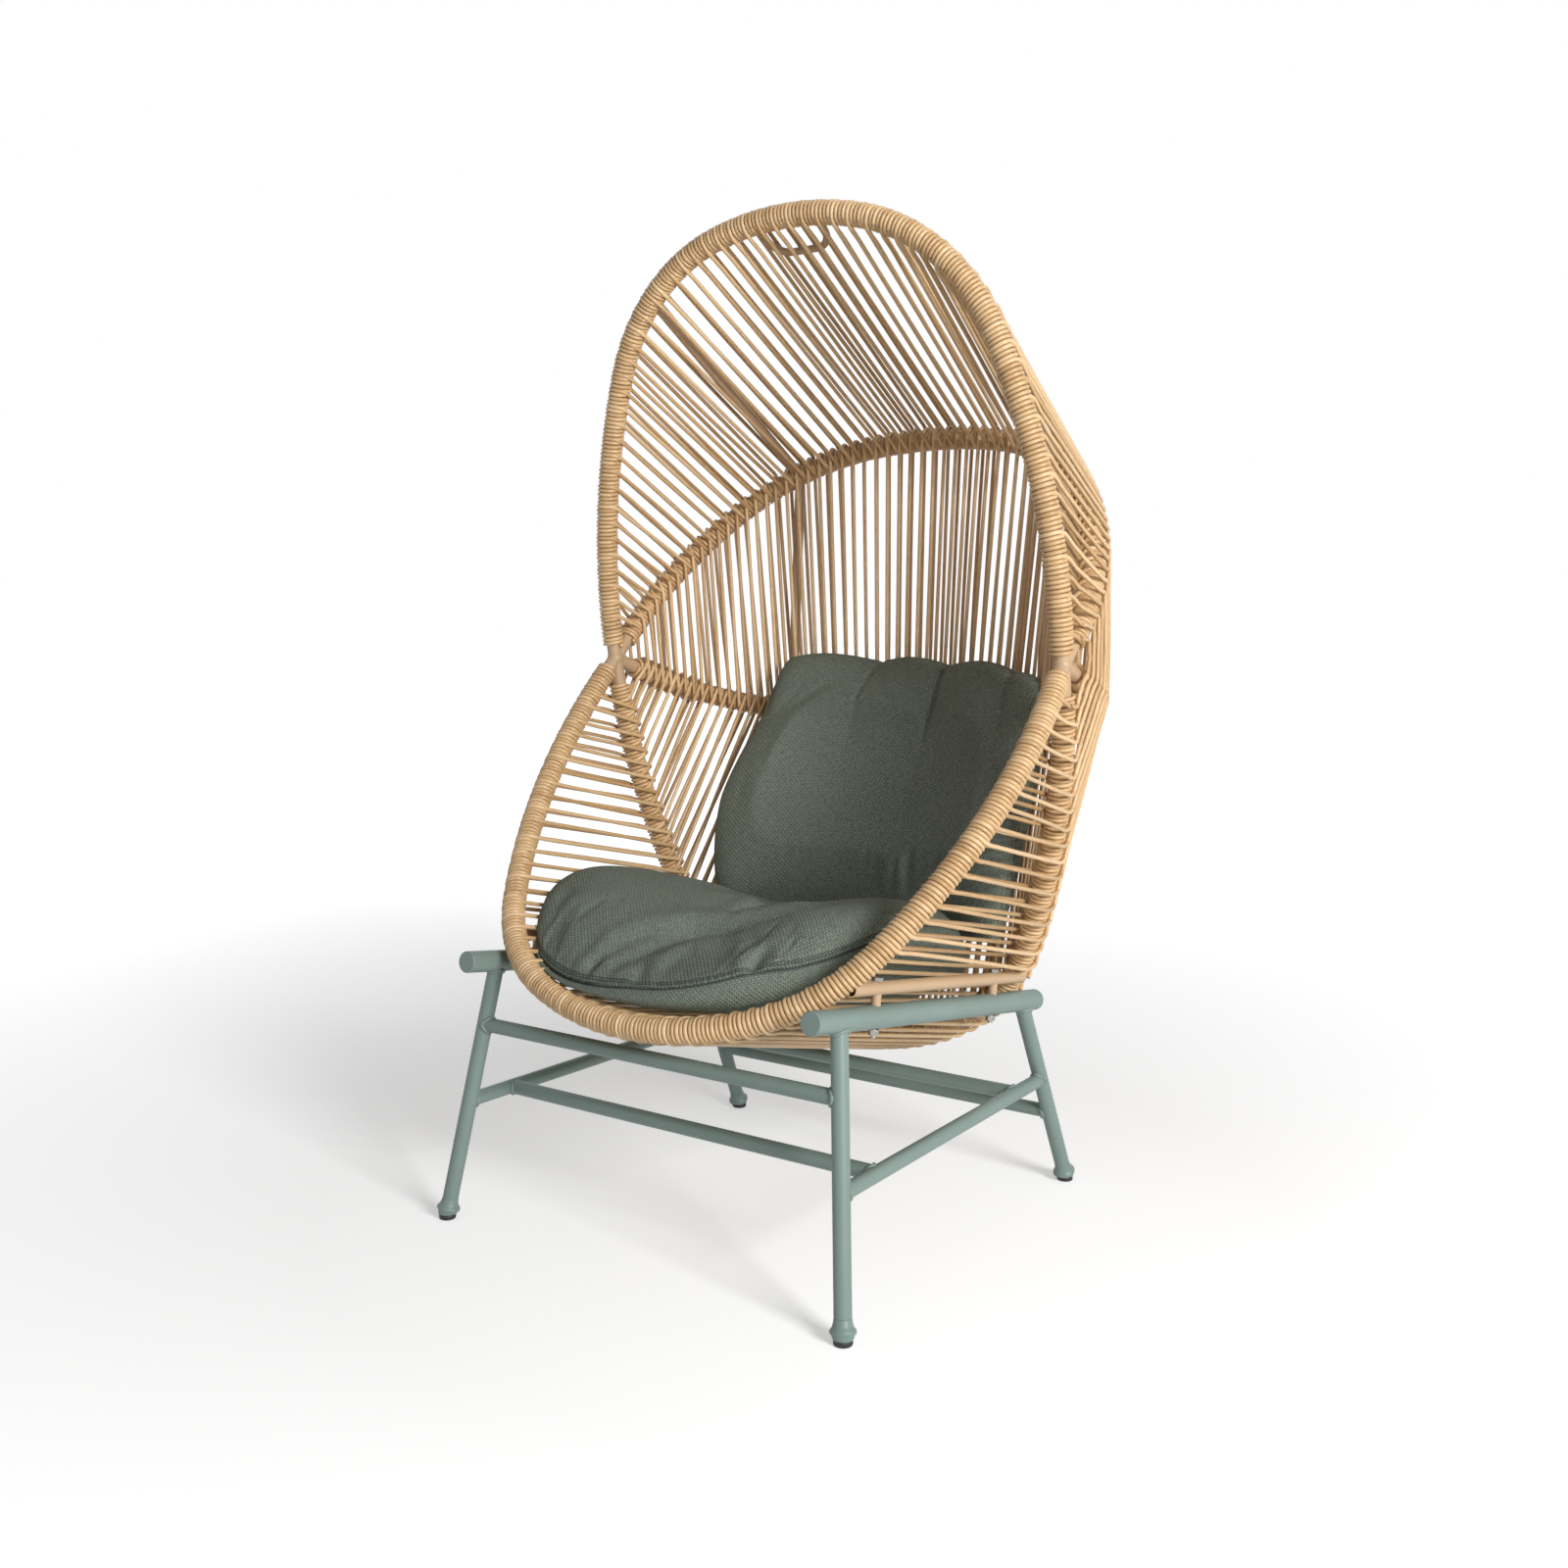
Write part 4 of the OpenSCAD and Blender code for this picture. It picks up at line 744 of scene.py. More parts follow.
def tucked_end(centre, run, away, face_out, face):
    """A string end that leaves the layer of turns: it lies among the turns and bends off."""
    cords = bpy.context.scene.egg_cord
    level = unit(away - run * np.dot(away, run))
    angles = np.linspace(TUCK_FROM, TUCK_TO, TUCK_POINTS)
    climb = -face * angles * cords.pitch / (2 * math.pi)
    ring = np.cos(angles)[:, None] * face_out - np.sin(angles)[:, None] * level
    wrap = centre + (layer_radius() + TUCK_OUT) * ring + climb[:, None] * run
    leave = math.sin(TUCK_TO) * face_out + math.cos(TUCK_TO) * level
    clear = centre + (layer_radius() + LEAVING_OUT) * face_out + LEAVING * away
    near, far = (share * LEAVING for share in LEAVING_HANDLES)
    off = bezier(wrap[-1], wrap[-1] + near * leave, clear - far * away, clear, LEAVING_POINTS)
    return np.concatenate([wrap, off])


def crossing_end(centre, run, away, face_out, rng):
    """A string end that crosses over the turns and goes round to the far side of the hoop."""
    level = unit(away - run * np.dot(away, run))
    ride = layer_radius(1.5)
    slope = np.clip(np.dot(away, run) / max(np.dot(away, level), LEAST_LEVEL), -STEEPEST, STEEPEST)
    last = math.radians(rng.uniform(*CROSS_ENDS))
    angles = np.linspace(last, 0, CROSS_POINTS)
    sink = smooth((angles - CROSS_SINK_FROM) / (last - CROSS_SINK_FROM))
    radius = mix(ride, layer_radius() - CROSS_SINK, sink)
    drift = -slope * ride * last * CROSS_DRIFT * (1 - (1 - angles / last) ** CROSS_SLOWING)
    ring = np.cos(angles)[:, None] * face_out - np.sin(angles)[:, None] * level
    return centre + radius[:, None] * ring + drift[:, None] * run


def bridge(hoop_shape, alongs, arriving, leaving):
    """A string's way over a hoop: it arrives with one bay, bends on the turns and leaves."""
    ride = layer_radius(1.5)
    tangents = []
    for along, way in zip(alongs, (arriving, leaving)):
        centre, run = hoop_shape.at(along)
        tangents.append(centre[0] + OUTSIDE * ride * unit(np.cross(way, run[0])))
    first = tangents[0] - BRIDGE_REACH * arriving
    last = tangents[1] + BRIDGE_REACH * leaving
    handle = BRIDGE_HANDLE * BRIDGE_REACH
    points = bezier(
        first, first + handle * arriving, last - handle * leaving, last, 2 * BRIDGE_POINTS
    )
    centres, runs = hoop_shape.at(np.linspace(alongs[0], alongs[1], 2 * BRIDGE_POINTS))
    out = points - centres
    out -= runs * np.sum(out * runs, 1)[:, None]
    far = np.linalg.norm(out, axis=1, keepdims=True)
    return points + out / far * np.maximum(0, ride - far)


BAYS = [
    # name, first hoop, second hoop, spreads, phase, styles
    ("canopy", "front_arch", "upper_hoop", ("rim", "inner"), 0, ("tuck", "tuck")),
    ("back", "upper_hoop", "lower_hoop", ("inner", "inner"), 0.5, ("cross", "cross")),
    ("lumbar", "lower_hoop", "seat_hoop", ("inner", "inner"), 0, ("cross", "tuck")),
    ("seat", "seat_hoop", "front_rim", ("inner", "rim"), 0.5, ("cross", "tuck")),
]
SECTORS = ["left", "middle", "right"]


def from_bar(points, a, b):
    """The least distance of points from a bar's centre line."""
    share = np.clip((points - a) @ (b - a) / np.dot(b - a, b - a), 0, 1)
    return np.linalg.norm(points - a - share[:, None] * (b - a), axis=1).min()


def seat_bars():
    """The bars that seat strings have to pass: centre lines and radii, from the fixed frame."""
    base, bars = bpy.context.scene.egg_base, []
    for side in ("left", "right"):
        for name, diameter in (
            ("seat_rail_", base.seat_rail_diameter), ("side_rail_", base.rail_diameter)
        ):
            radius = diameter / 2
            low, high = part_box(name + side)
            middle = (low[0] + high[0]) / 2
            bars.append((
                np.array([middle, low[1], high[2] - radius]),
                np.array([middle, high[1], low[2] + radius]), radius
            ))
    return bars


def string_places(hoops, rng):
    """Where each string meets its two hoops, by bay, face and step."""
    cords = bpy.context.scene.egg_cord
    share_of = {"rim": cords.rim_spread, "inner": cords.inner_spread}
    places = {}
    for bay, first, second, spreads, phase, _ in BAYS:
        for face, start in ((OUTSIDE, cords.first_outer_step), (INSIDE, cords.first_step)):
            least = (start - 0.5) / cords.steps
            for step in range(start, cords.steps - start + 1):
                shares = [(step + phase - face * share_of[s] / 2) / cords.steps for s in spreads]
                slips = rng.normal(0, STRING_SLIP, 2)
                if least < min(shares) and max(shares) < 1 - least:
                    places[bay, face, step] = [
                        share * hoops[name].length + slip
                        for name, share, slip in zip((first, second), shares, slips)
                    ]
    return places


def way_between(hoops, bay, alongs):
    """The direction of a string between its two hoops."""
    a, b = (hoops[name].at(along)[0][0] for name, along in zip(bay[1:3], alongs))
    return unit(b - a)


def string_end(hoops, places, i, face, step, end, rng):
    """One end of a string, from its tip on the hoop to where its straight run begins."""
    bay = BAYS[i]
    alongs = places[bay[0], face, step]
    whole = way_between(hoops, bay, alongs)
    name, along = bay[1 + end], alongs[end]
    next_bay = i + (1 if end else -1)
    if face == OUTSIDE and 0 <= next_bay < len(BAYS):
        other = places.get((BAYS[next_bay][0], face, step))
        if other:
            before, after = (alongs[1], other[0]) if end else (other[1], alongs[0])
            ways = [whole, way_between(hoops, BAYS[next_bay], other)]
            if not end:
                ways.reverse()
            points = bridge(hoops[name], (before, after), *ways)
            return points[BRIDGE_POINTS - 1::-1] if end else points[BRIDGE_POINTS - 1:]
    centre, run = hoops[name].at(along)
    away = -whole if end else whole
    face_out = face * unit(np.cross(whole, run[0]))
    if bay[5][end] == "cross":
        return crossing_end(centre[0], run[0], away, face_out, rng)
    centre, run = hoops[name].at(on_turn(name, hoops[name], along, face_out))
    return tucked_end(centre[0], run[0], away, face_out, -face if end else face)


def bay_paths(i, hoops, places, rng):
    """Every string of a bay: its path and its tone."""
    found = []
    bars = seat_bars() if BAYS[i][0] == "seat" else []
    gap = bpy.context.scene.egg_cord.diameter / 2 + BAR_GAP
    for (bay, face, step) in places:
        if bay != BAYS[i][0]:
            continue
        first = string_end(hoops, places, i, face, step, 0, rng)
        last = string_end(hoops, places, i, face, step, 1, rng)
        t = np.linspace(0, 1, STRAIGHT_POINTS + 2)[1:-1, None]
        straight = mix(first[-1], last[-1], t) + rng.normal(0, STRING_STRAY, 3) * (t * (1 - t))
        tone = rng.uniform(*STRING_TONES)
        if all(from_bar(straight, a, b) > radius + gap for a, b, radius in bars):
            found.append((np.concatenate([first, straight, last[::-1]]), tone))
    return found


class EGG_OT_strings(bpy.types.Operator):
    """Strings the four bays between the hoops, each string from one hoop's turns to the next's"""
    bl_idname = "egg.strings"
    bl_label = "Strings"

    def execute(self, context):
        cord = material(resin_cord)
        hoops = shell_hoops()
        rng = np.random.default_rng(STRING_SEED)
        places = string_places(hoops, rng)
        radius = context.scene.egg_cord.diameter / 2
        for i, bay in enumerate(BAYS):
            piles = {sector: MeshPile() for sector in SECTORS}
            for path, tone in bay_paths(i, hoops, places, rng):
                x, edge = path[len(path) // 2][0], SECTOR_EDGES[bay[0]]
                sector = "left" if x < -edge else "right" if x > edge else "middle"
                piles[sector].add(*cord_points(path, radius, path_frames(path)), tone)
            for sector, pile in piles.items():
                node = f"{bay[0]}_strings_{sector}"
                pile.make(node + "_cords", cord, "cord", node)
        return {"FINISHED"}


# ---------- cushions ----------
def cushion_lining():
    """Distance from a hoop's centre line to a cushion that lies on its strings."""
    return layer_radius(2) + bpy.context.scene.egg_cushions.gap


def drift(hoop_shape, x, axis):
    """How fast a hoop's height or set-back changes away from the middle."""
    tick = 0.001
    return (hoop_shape.at_x(np.abs(x) + tick)[..., axis] - hoop_shape.at_x(x)[..., axis]) / tick


def seat_surface(hoops, x, y):
    """Height at which a cushion clears the seat strings."""
    a, b = hoops["front_rim"].at_x(x), hoops["seat_hoop"].at_x(x)
    slope = (b[..., 2] - a[..., 2]) / (b[..., 1] - a[..., 1])
    climb = drift(hoops["seat_hoop"], x, 2)
    clear = cushion_lining() * np.sqrt(1 + slope ** 2 + climb ** 2)
    return a[..., 2] + slope * (y - a[..., 1]) + clear


def lumbar_lean(hoops, x):
    """How far the strings of the small of the back lean back as they rise."""
    a, b = hoops["seat_hoop"].at_x(x), hoops["lower_hoop"].at_x(x)
    return (b[..., 1] - a[..., 1]) / (b[..., 2] - a[..., 2])


def wall_lining(hoops, x):
    """How far in front of the hoop's line a cushion clears those strings."""
    lean, turn = lumbar_lean(hoops, x), drift(hoops["lower_hoop"], x, 1)
    return cushion_lining() * np.sqrt(1 + lean ** 2 + turn ** 2)


def back_surface(hoops, x, z):
    """Set-back at which a cushion clears the strings of the back."""
    low, high = hoops["lower_hoop"].at_x(x), hoops["upper_hoop"].at_x(x)
    back_lean = (high[..., 1] - low[..., 1]) / (high[..., 2] - low[..., 2])
    lean = np.where(z < low[..., 2], lumbar_lean(hoops, x), back_lean)
    return low[..., 1] + lean * (z - low[..., 2]) - wall_lining(hoops, x)


def wall_surface(hoops, x, y):
    """Height at which a cushion's rear clears those strings."""
    low = hoops["lower_hoop"].at_x(x)
    return low[..., 2] + (y + wall_lining(hoops, x) - low[..., 1]) / lumbar_lean(hoops, x)


def smooth_max(a, b, blend):
    """The greater of two, with the change from one to the other rounded off."""
    h = np.maximum(blend - np.abs(a - b), 0) / blend
    return np.maximum(a, b) + h * h * blend / 4


# The seat cushion's plan is a rounded square of this power, and its grid ends just inside it
PLAN_POWER = 2.5
PLAN_INSET = 0.985
# How boxy the crown is: low in front, where it slopes off, and high at the sides and behind
FRONT_FULLNESS = 2
SIDE_FULLNESS = 9
CROWN_SHARE = 0.95
CORNER_BLEND = 0.060
SEAT_RINGS = 50
BOXING_ROWS = 8
# How low the boxing bulges most, and how much longer its cloth is than its height
BOXING_SAG = 0.8
BOXING_DRAPE = 1.2
# The grid's rings crowd towards the seam, where the stitching needs them
SEAM_CROWDING = 1.5
# How far the filling can swell a cover before the cloth holds it, and the share that it mostly does
SEAT_SWELL = 0.024
SEAT_SWELL_SHARE = 0.7
BACK_SWELL = 0.024
BACK_SWELL_SHARE = 0.6
# Spare length in each cover, which gathers into wrinkles along the seams
SEAT_SPARE = 0.008
BACK_SPARE = 0.0
# How far from its seam each cover is held by it, and how firmly the boxing and channels hold
SEAT_HELD = 0.02
BACK_HELD = 0.012
HOLD = 0.9
# The filling's pressure and the cover's stiffness in the simulation
FILLING_FRAMES = 20
FILLING_PRESSURE = 4.0
COVER_STIFFNESS = 0.35
# How far the front seam of the worn-in seat cushion lies above its level, across the front
SEAM_PLACES = (-0.30, -0.20, -0.13, -0.02, 0.07, 0.16, 0.20, 0.24, 0.30)
SEAM_LIFTS = (-0.034, -0.028, -0.018, 0.0, 0.006, 0.012, 0.008, 0.0, -0.015)
# Folds pressed into the seat's top: places on its plan, width and depth
SEAT_FOLDS = [
    (((-0.070, -0.365), (-0.045, -0.330), (-0.005, -0.272), (0.055, -0.245), (0.115, -0.205),
      (0.200, -0.160)), 0.017, 0.017),
    (((-0.112, -0.380), (-0.098, -0.345), (-0.068, -0.300), (-0.030, -0.262), (0.030, -0.225)),
     0.012, 0.008),
    (((0.176, -0.372), (0.172, -0.352), (0.178, -0.322)), 0.009, 0.007),
    (((0.135, -0.338), (0.142, -0.300)), 0.008, 0.004),
    (((-0.008, -0.396), (-0.024, -0.374), (-0.034, -0.352)), 0.009, 0.006),
    (((-0.106, -0.392), (-0.114, -0.376), (-0.118, -0.360)), 0.008, 0.005),
    (((-0.212, -0.362), (-0.226, -0.342), (-0.230, -0.325), (-0.222, -0.300)), 0.010, 0.005),
    (((-0.262, -0.310), (-0.268, -0.285), (-0.262, -0.255)), 0.010, 0.004),
]
# How far along its line a fold begins, how much wider it is at its end, and where beside it and
# how high the cloth swells
FOLD_START = 0.12
FOLD_SPAN = 0.86
FOLD_WIDENS = 0.9
FOLD_SWELL_PLACE = 2.1
FOLD_SWELL = 0.4
# The cushion is pressed over to its left: how much wider it lies there, how far its filling
# bulges out over the seam, and how far the seam is pulled down. The aim is the angle of that side
# round the cushion, and its edge says how that fades away from it
LEFT_AIM = math.radians(208)
LEFT_EDGE = (0.15, 1.1)
LEFT_SPREAD = 0.13
LEFT_BULGE = 0.016
LEFT_SEAM_DROP = 0.009
# The shares by which the crown is lower on that side, where negative means higher, and higher in
# the middle, and where that middle lies and how wide it is
LEFT_SINK = -0.10
MIDDLE_LOFT = 0.12
MIDDLE_PLACE = 0.02
MIDDLE_WIDTH = 0.12
# The seam's width, and the stitching's share of dark thread. Its rows beside the seam: distance
# onto the top, half width and depth
SEAM_WIDTH = 0.004
STITCH_SHARE = 0.75
STITCH_ROWS = ((0.0, 0.0022, 0.0056), (0.0075, 0.0016, 0.0022), (0.0125, 0.0016, 0.0016))


def concentric(rings):
    """A square grid laid on a disc: for each grid point its angle and its share of the radius."""
    g = np.arange(-rings, rings + 1) / rings
    a, b = np.meshgrid(g, g)
    share = np.maximum(np.abs(a), np.abs(b))
    with np.errstate(divide="ignore", invalid="ignore"):
        wide = np.abs(a) >= np.abs(b)
        angle = np.where(
            wide,
            np.where(a >= 0, 0, math.pi) + math.pi / 4 * b / a,
            np.where(b >= 0, 1, -1) * math.pi / 2 - math.pi / 4 * a / b
        )
    angle[share == 0] = 0
    return angle, 1 - (1 - share) ** SEAM_CROWDING


def seat_plan(angle, share):
    """The seat cushion's plan, and how far behind its middle each point lies."""
    cushions, shell = bpy.context.scene.egg_cushions, bpy.context.scene.egg_shell
    c, s = np.cos(angle), np.sin(angle)
    x = np.sign(c) * np.abs(c) ** (2 / PLAN_POWER)
    y = np.sign(s) * np.abs(s) ** (2 / PLAN_POWER)
    middle = shell.hub_set_back + (cushions.seat_rear - cushions.seat_front) / 2
    depth = (cushions.seat_rear + cushions.seat_front) / 2
    return share * cushions.seat_half_width * x, middle + share * depth * y, y * share


def seat_underside(hoops, x, y, behind):
    """Height of the underside: over the strings of the seat, then up the small of the back."""
    lift = bpy.context.scene.egg_cushions.rear_lift * np.maximum(0, behind) ** 2
    return smooth_max(seat_surface(hoops, x, y), wall_surface(hoops, x, y), CORNER_BLEND) + lift


def grid_faces(rows, columns, flip=False, offset=0):
    """Quads of a grid of points."""
    r, c = np.meshgrid(np.arange(rows - 1), np.arange(columns - 1), indexing="ij")
    a = (r * columns + c).ravel() + offset
    quads = np.stack([a, a + 1, a + columns + 1, a + columns], 1)
    return (quads[:, ::-1] if flip else quads).tolist()


def rim_loop(size):
    """Indices of a square grid's rim, once round against the clock."""
    last = size - 1
    loop = [(0, c) for c in range(last)] + [(r, last) for r in range(last)]
    loop += [(last, c) for c in range(last, 0, -1)] + [(r, 0) for r in range(last, 0, -1)]
    return [r * size + c for r, c in loop]


def read_numbers(layer, name, width=1):
    """A value for each point of a mesh, or several."""
    values = np.empty(len(layer) * width, np.float32)
    layer.foreach_get(name, values)
    values = values.astype(float)
    return values.reshape(-1, width) if width > 1 else values


def point_array(piece):
    return read_numbers(piece.data.vertices, "co", 3)


def move_points(piece, points):
    piece.data.vertices.foreach_set("co", np.asarray(points, np.float32).ravel())
    piece.data.update()


def push_out(piece, depth):
    """Moves each point of a cover out along its normal."""
    normals = read_numbers(piece.data.vertex_normals, "vector", 3)
    move_points(piece, point_array(piece) + normals * depth[:, None])


def inflate(piece, held, most, spare):
    """Fills a cover: a cloth simulation swells it, and no point moves further than most."""
    group = piece.vertex_groups.new(name="held")
    for i, weight in enumerate(held):
        if weight > 0:
            group.add([i], float(weight), "REPLACE")
    start = point_array(piece)
    cloth = piece.modifiers.new("filling", "CLOTH")
    cloth.settings.use_pressure = True
    cloth.settings.uniform_pressure_force = FILLING_PRESSURE
    cloth.settings.effector_weights.gravity = 0
    cloth.settings.vertex_group_mass = group.name
    cloth.settings.shrink_min = -spare
    cloth.settings.bending_stiffness = COVER_STIFFNESS
    cloth.settings.quality = 4
    cloth.collision_settings.use_collision = False
    cloth.point_cache.frame_end = FILLING_FRAMES
    for f in range(1, FILLING_FRAMES + 1):
        bpy.context.scene.frame_set(f)
    shaped = piece.evaluated_get(bpy.context.evaluated_depsgraph_get())
    move = point_array(shaped) - start
    piece.modifiers.remove(cloth)
    piece.vertex_groups.remove(group)
    bpy.context.scene.frame_set(1)
    size = np.linalg.norm(move, axis=1, keepdims=True)
    move *= np.minimum(1, most / np.maximum(size, 1e-9))
    move_points(piece, start + move)


def subdivide(piece):
    """Applies one level of smooth subdivision."""
    modifier = piece.modifiers.new("smooth", "SUBSURF")
    modifier.levels = modifier.render_levels = 1
    graph = bpy.context.evaluated_depsgraph_get()
    finer = bpy.data.meshes.new_from_object(piece.evaluated_get(graph))
    piece.modifiers.remove(modifier)
    piece.data = finer
    finer.polygons.foreach_set("use_smooth", [True] * len(finer.polygons))


def set_cloth(piece, places):
    """Stores where each face corner lies on the flat cloth it was cut from, for the weave."""
    layer = piece.data.attributes.new("cloth", "FLOAT_VECTOR", "CORNER")
    layer.data.foreach_set("vector", np.asarray(places, np.float32).ravel())


def along_line(points, line):
    """Distance of points from a line of straight runs in a plane, and their share along it."""
    line = np.asarray(line)
    runs = np.diff(line, axis=0)
    lengths = np.linalg.norm(runs, axis=1)
    before = np.concatenate([[0], np.cumsum(lengths)])
    nearest = np.full(len(points), np.inf)
    share = np.zeros(len(points))
    for a, run, size, start in zip(line[:-1], runs, lengths, before):
        t = np.clip((points - a) @ run / size ** 2, 0, 1)
        far = np.linalg.norm(points - (a + t[:, None] * run), axis=1)
        better = far < nearest
        nearest[better] = far[better]
        share[better] = (start + t[better] * size) / before[-1]
    return nearest, share


def fold_depth(plan, line, width, depth):
    """A fold: a groove along a line, with the cloth it takes up swelling on both sides. It fades
    towards its ends and widens on its way."""
    far, share = along_line(plan, line)
    taper = np.sin(math.pi * np.clip(share * FOLD_SPAN + FOLD_START, 0, 1))
    spread = width * (1 + FOLD_WIDENS * share)
    groove = np.exp(-(far / spread) ** 2)
    swell = np.exp(-((far - FOLD_SWELL_PLACE * spread) / spread) ** 2)
    return depth * taper * (FOLD_SWELL * swell - groove)


# The way on which the seat cushion is drawn out through the front rim. Its cover keeps clear of
# the rim by its room, to the left of the side's place, where that begins to fade in
SLIDE_WAY = np.array([0, -0.97515, 0.22155])
SLIDE_REACH = 0.12
SLIDE_STEPS = 13
RIM_ROOM = 0.001
RIM_BLEND = 1.25
RIM_POINTS = 120
RIM_SIDE = -0.19
RIM_FADE = 0.05


def clear_rim(piece, hoops):
    """Holds the spread left side of a cover within the front rim, all along its way out."""
    rim = hoops["front_rim"]
    centres, runs = rim.at(np.linspace(0.5, 1, RIM_POINTS) * rim.length)
    inwards = hoop_axes(rim, runs)[0]
    room = layer_radius(1) + RIM_ROOM
    points = point_array(piece)
    near = np.flatnonzero(points[:, 0] < RIM_SIDE)
    fade = smooth((RIM_SIDE - points[near, 0]) / RIM_FADE)
    for slid in np.linspace(0, SLIDE_REACH, SLIDE_STEPS):
        gaps = (points[near] + slid * SLIDE_WAY)[:, None] - centres
        nearest = np.argmin(np.sum(gaps ** 2, -1), 1)
        gap = gaps[np.arange(len(near)), nearest]
        inward = inwards[nearest]
        needed = room * (1 - (gap @ rim.normal / (RIM_BLEND * room)) ** 2)
        push = fade * np.maximum(0, needed - np.sum(gap * inward, 1))
        points[near] += push[:, None] * inward
    move_points(piece, points)


class EGG_OT_seat_cushion(bpy.types.Operator):
    """Sews and fills the round boxed seat cushion"""
    bl_idname = "egg.seat_cushion"
    bl_label = "Seat Cushion"

    def execute(self, context):
        cushions, hoops = context.scene.egg_cushions, shell_hoops()
        top, bottom, left, rise = self.cut_covers(cushions, hoops)
        loop = rim_loop(2 * SEAT_RINGS + 1)
        points, rows = self.add_boxing(cushions, top, bottom, left, loop)
        faces, cloth = self.sew(cushions, points, rows, top[loop + loop[:1]])
        seam, held = self.measure_seam(cushions, len(points), rows, rise)
        piece = make_mesh(
            "seat_cushion_cover", points, faces, SEAT, material(melange_cloth),
            ["seat_cushion"], {"seam": seam}
        )
        set_cloth(piece, cloth)
        inflate(piece, held, SEAT_SWELL, SEAT_SPARE)
        subdivide(piece)
        self.press(piece)
        clear_rim(piece, hoops)
        return {"FINISHED"}

    def cut_covers(self, cushions, hoops):
        """The points of the top and of the bottom, and for each how far it lies to the left and
        how far it is from the seam."""
        angle, share = concentric(SEAT_RINGS)
        x, y, behind = seat_plan(angle, share * PLAN_INSET)
        left = smooth(LEFT_EDGE[0] + LEFT_EDGE[1] * np.cos(angle - LEFT_AIM))
        under = seat_underside(hoops, x, y, behind)
        front = np.maximum(0, -np.sin(angle))
        height = 1 - share ** mix(SIDE_FULLNESS, FRONT_FULLNESS, front ** 2)
        swell = SEAT_SWELL * SEAT_SWELL_SHARE
        middle = MIDDLE_LOFT * np.exp(-((x - MIDDLE_PLACE) / MIDDLE_WIDTH) ** 2)
        full = 1 - LEFT_SINK * left + middle
        crown = height * (cushions.crown * CROWN_SHARE - swell) * full
        seam_lift = np.interp(x, SEAM_PLACES, SEAM_LIFTS) * front - LEFT_SEAM_DROP * left
        bottom = np.stack([x, y, under], -1).reshape(-1, 3)
        x = x * (1 + LEFT_SPREAD * left) - LEFT_BULGE * left * 4 * height * (1 - height)
        y = y.mean() + (y - y.mean()) * (1 + 0.5 * LEFT_SPREAD * left)
        top = np.stack([x, y, under + cushions.boxing + seam_lift * share ** 3 + crown], -1)
        rise = np.hypot((1 - share) * cushions.seat_half_width, crown)
        return top.reshape(-1, 3), bottom, left.ravel(), rise.ravel()

    def add_boxing(self, cushions, top, bottom, left, loop):
        """All points of the cover, and its boxing's rows from the lower to the upper seam."""
        middle = [0, top[:, 1].mean(), 0]
        bulge = cushions.boxing_bulge + LEFT_BULGE * left[loop][:, None]
        points, rows = [top, bottom], [np.array(loop) + len(top)]
        for row in range(1, BOXING_ROWS):
            t = row / BOXING_ROWS
            level = mix(bottom[loop], top[loop], t)
            outward = unit((level - middle) * [1, 1, 0])
            rows.append(2 * len(top) + (row - 1) * len(loop) + np.arange(len(loop)))
            points.append(level + outward * bulge * math.sin(math.pi * t ** BOXING_SAG))
        rows.append(np.array(loop))
        return np.concatenate(points), rows

    def sew(self, cushions, points, rows, seam_points):
        """The faces of the cover, and where each of their corners lies on the flat cloth."""
        size = 2 * SEAT_RINGS + 1
        faces = grid_faces(size, size) + grid_faces(size, size, True, size * size)
        cloth = list((points * [1, 1, 0])[np.ravel(faces)])
        runs = np.linalg.norm(np.diff(seam_points, axis=0), axis=1)
        around = np.concatenate([[0], np.cumsum(runs)])
        row_height = cushions.boxing * BOXING_DRAPE / BOXING_ROWS
        for row, (low, high) in enumerate(zip(rows[:-1], rows[1:])):
            for i in range(len(low)):
                j = (i + 1) % len(low)
                faces.append([low[i], low[j], high[j], high[i]])
                for step, level in ((i, row), (i + 1, row), (i + 1, row + 1), (i, row + 1)):
                    cloth.append([around[step], level * row_height, 0])
        return faces, cloth

    def measure_seam(self, cushions, count, rows, rise):
        """Each point's way from the upper seam, growing onto the top and negative down the
        boxing, and how firmly each point is held while the cover fills."""
        seam, held = np.full(count, -1.0), np.ones(count)
        seam[:len(rise)] = rise
        held[:len(rise)] = smooth(1 - rise / SEAT_HELD)
        for row in range(1, BOXING_ROWS):
            seam[rows[row]] = -(1 - row / BOXING_ROWS) * cushions.boxing
            held[rows[row]] = HOLD
        return seam, held

    def press(self, piece):
        """Presses the folds and the rows of stitching into the filled cover."""
        seam = read_numbers(piece.data.attributes["seam"].data, "value")
        plan, on_top = point_array(piece)[:, :2], smooth(seam / SEAM_WIDTH)
        depth, stitch = np.zeros(len(plan)), np.zeros(len(plan))
        for line, width, deep in SEAT_FOLDS:
            depth += fold_depth(plan, line, width, deep) * on_top
        for far, half_width, deep in STITCH_ROWS:
            row = np.exp(-((seam - far) / half_width) ** 2)
            depth -= deep * row
            stitch = np.maximum(stitch, STITCH_SHARE * row)
        add_attribute(piece.data, "stitch", stitch)
        push_out(piece, depth)


BACK_ROWS = 64
COLUMNS_PER_LOBE = 28
# How much narrower the cushion is than its greatest width, on the left and on the right, and how
# sharply it narrows towards its top
TOP_NARROWINGS = (0.22, 0.1)
NARROWING_POWERS = (1.4, 2.0)
FOOT_NARROWINGS = (0.12, 0.05)
LEFT_WIDTH = 0.965
# How far the worn-in cover hangs down below its sewn height
FOOT_SAG = 0.020
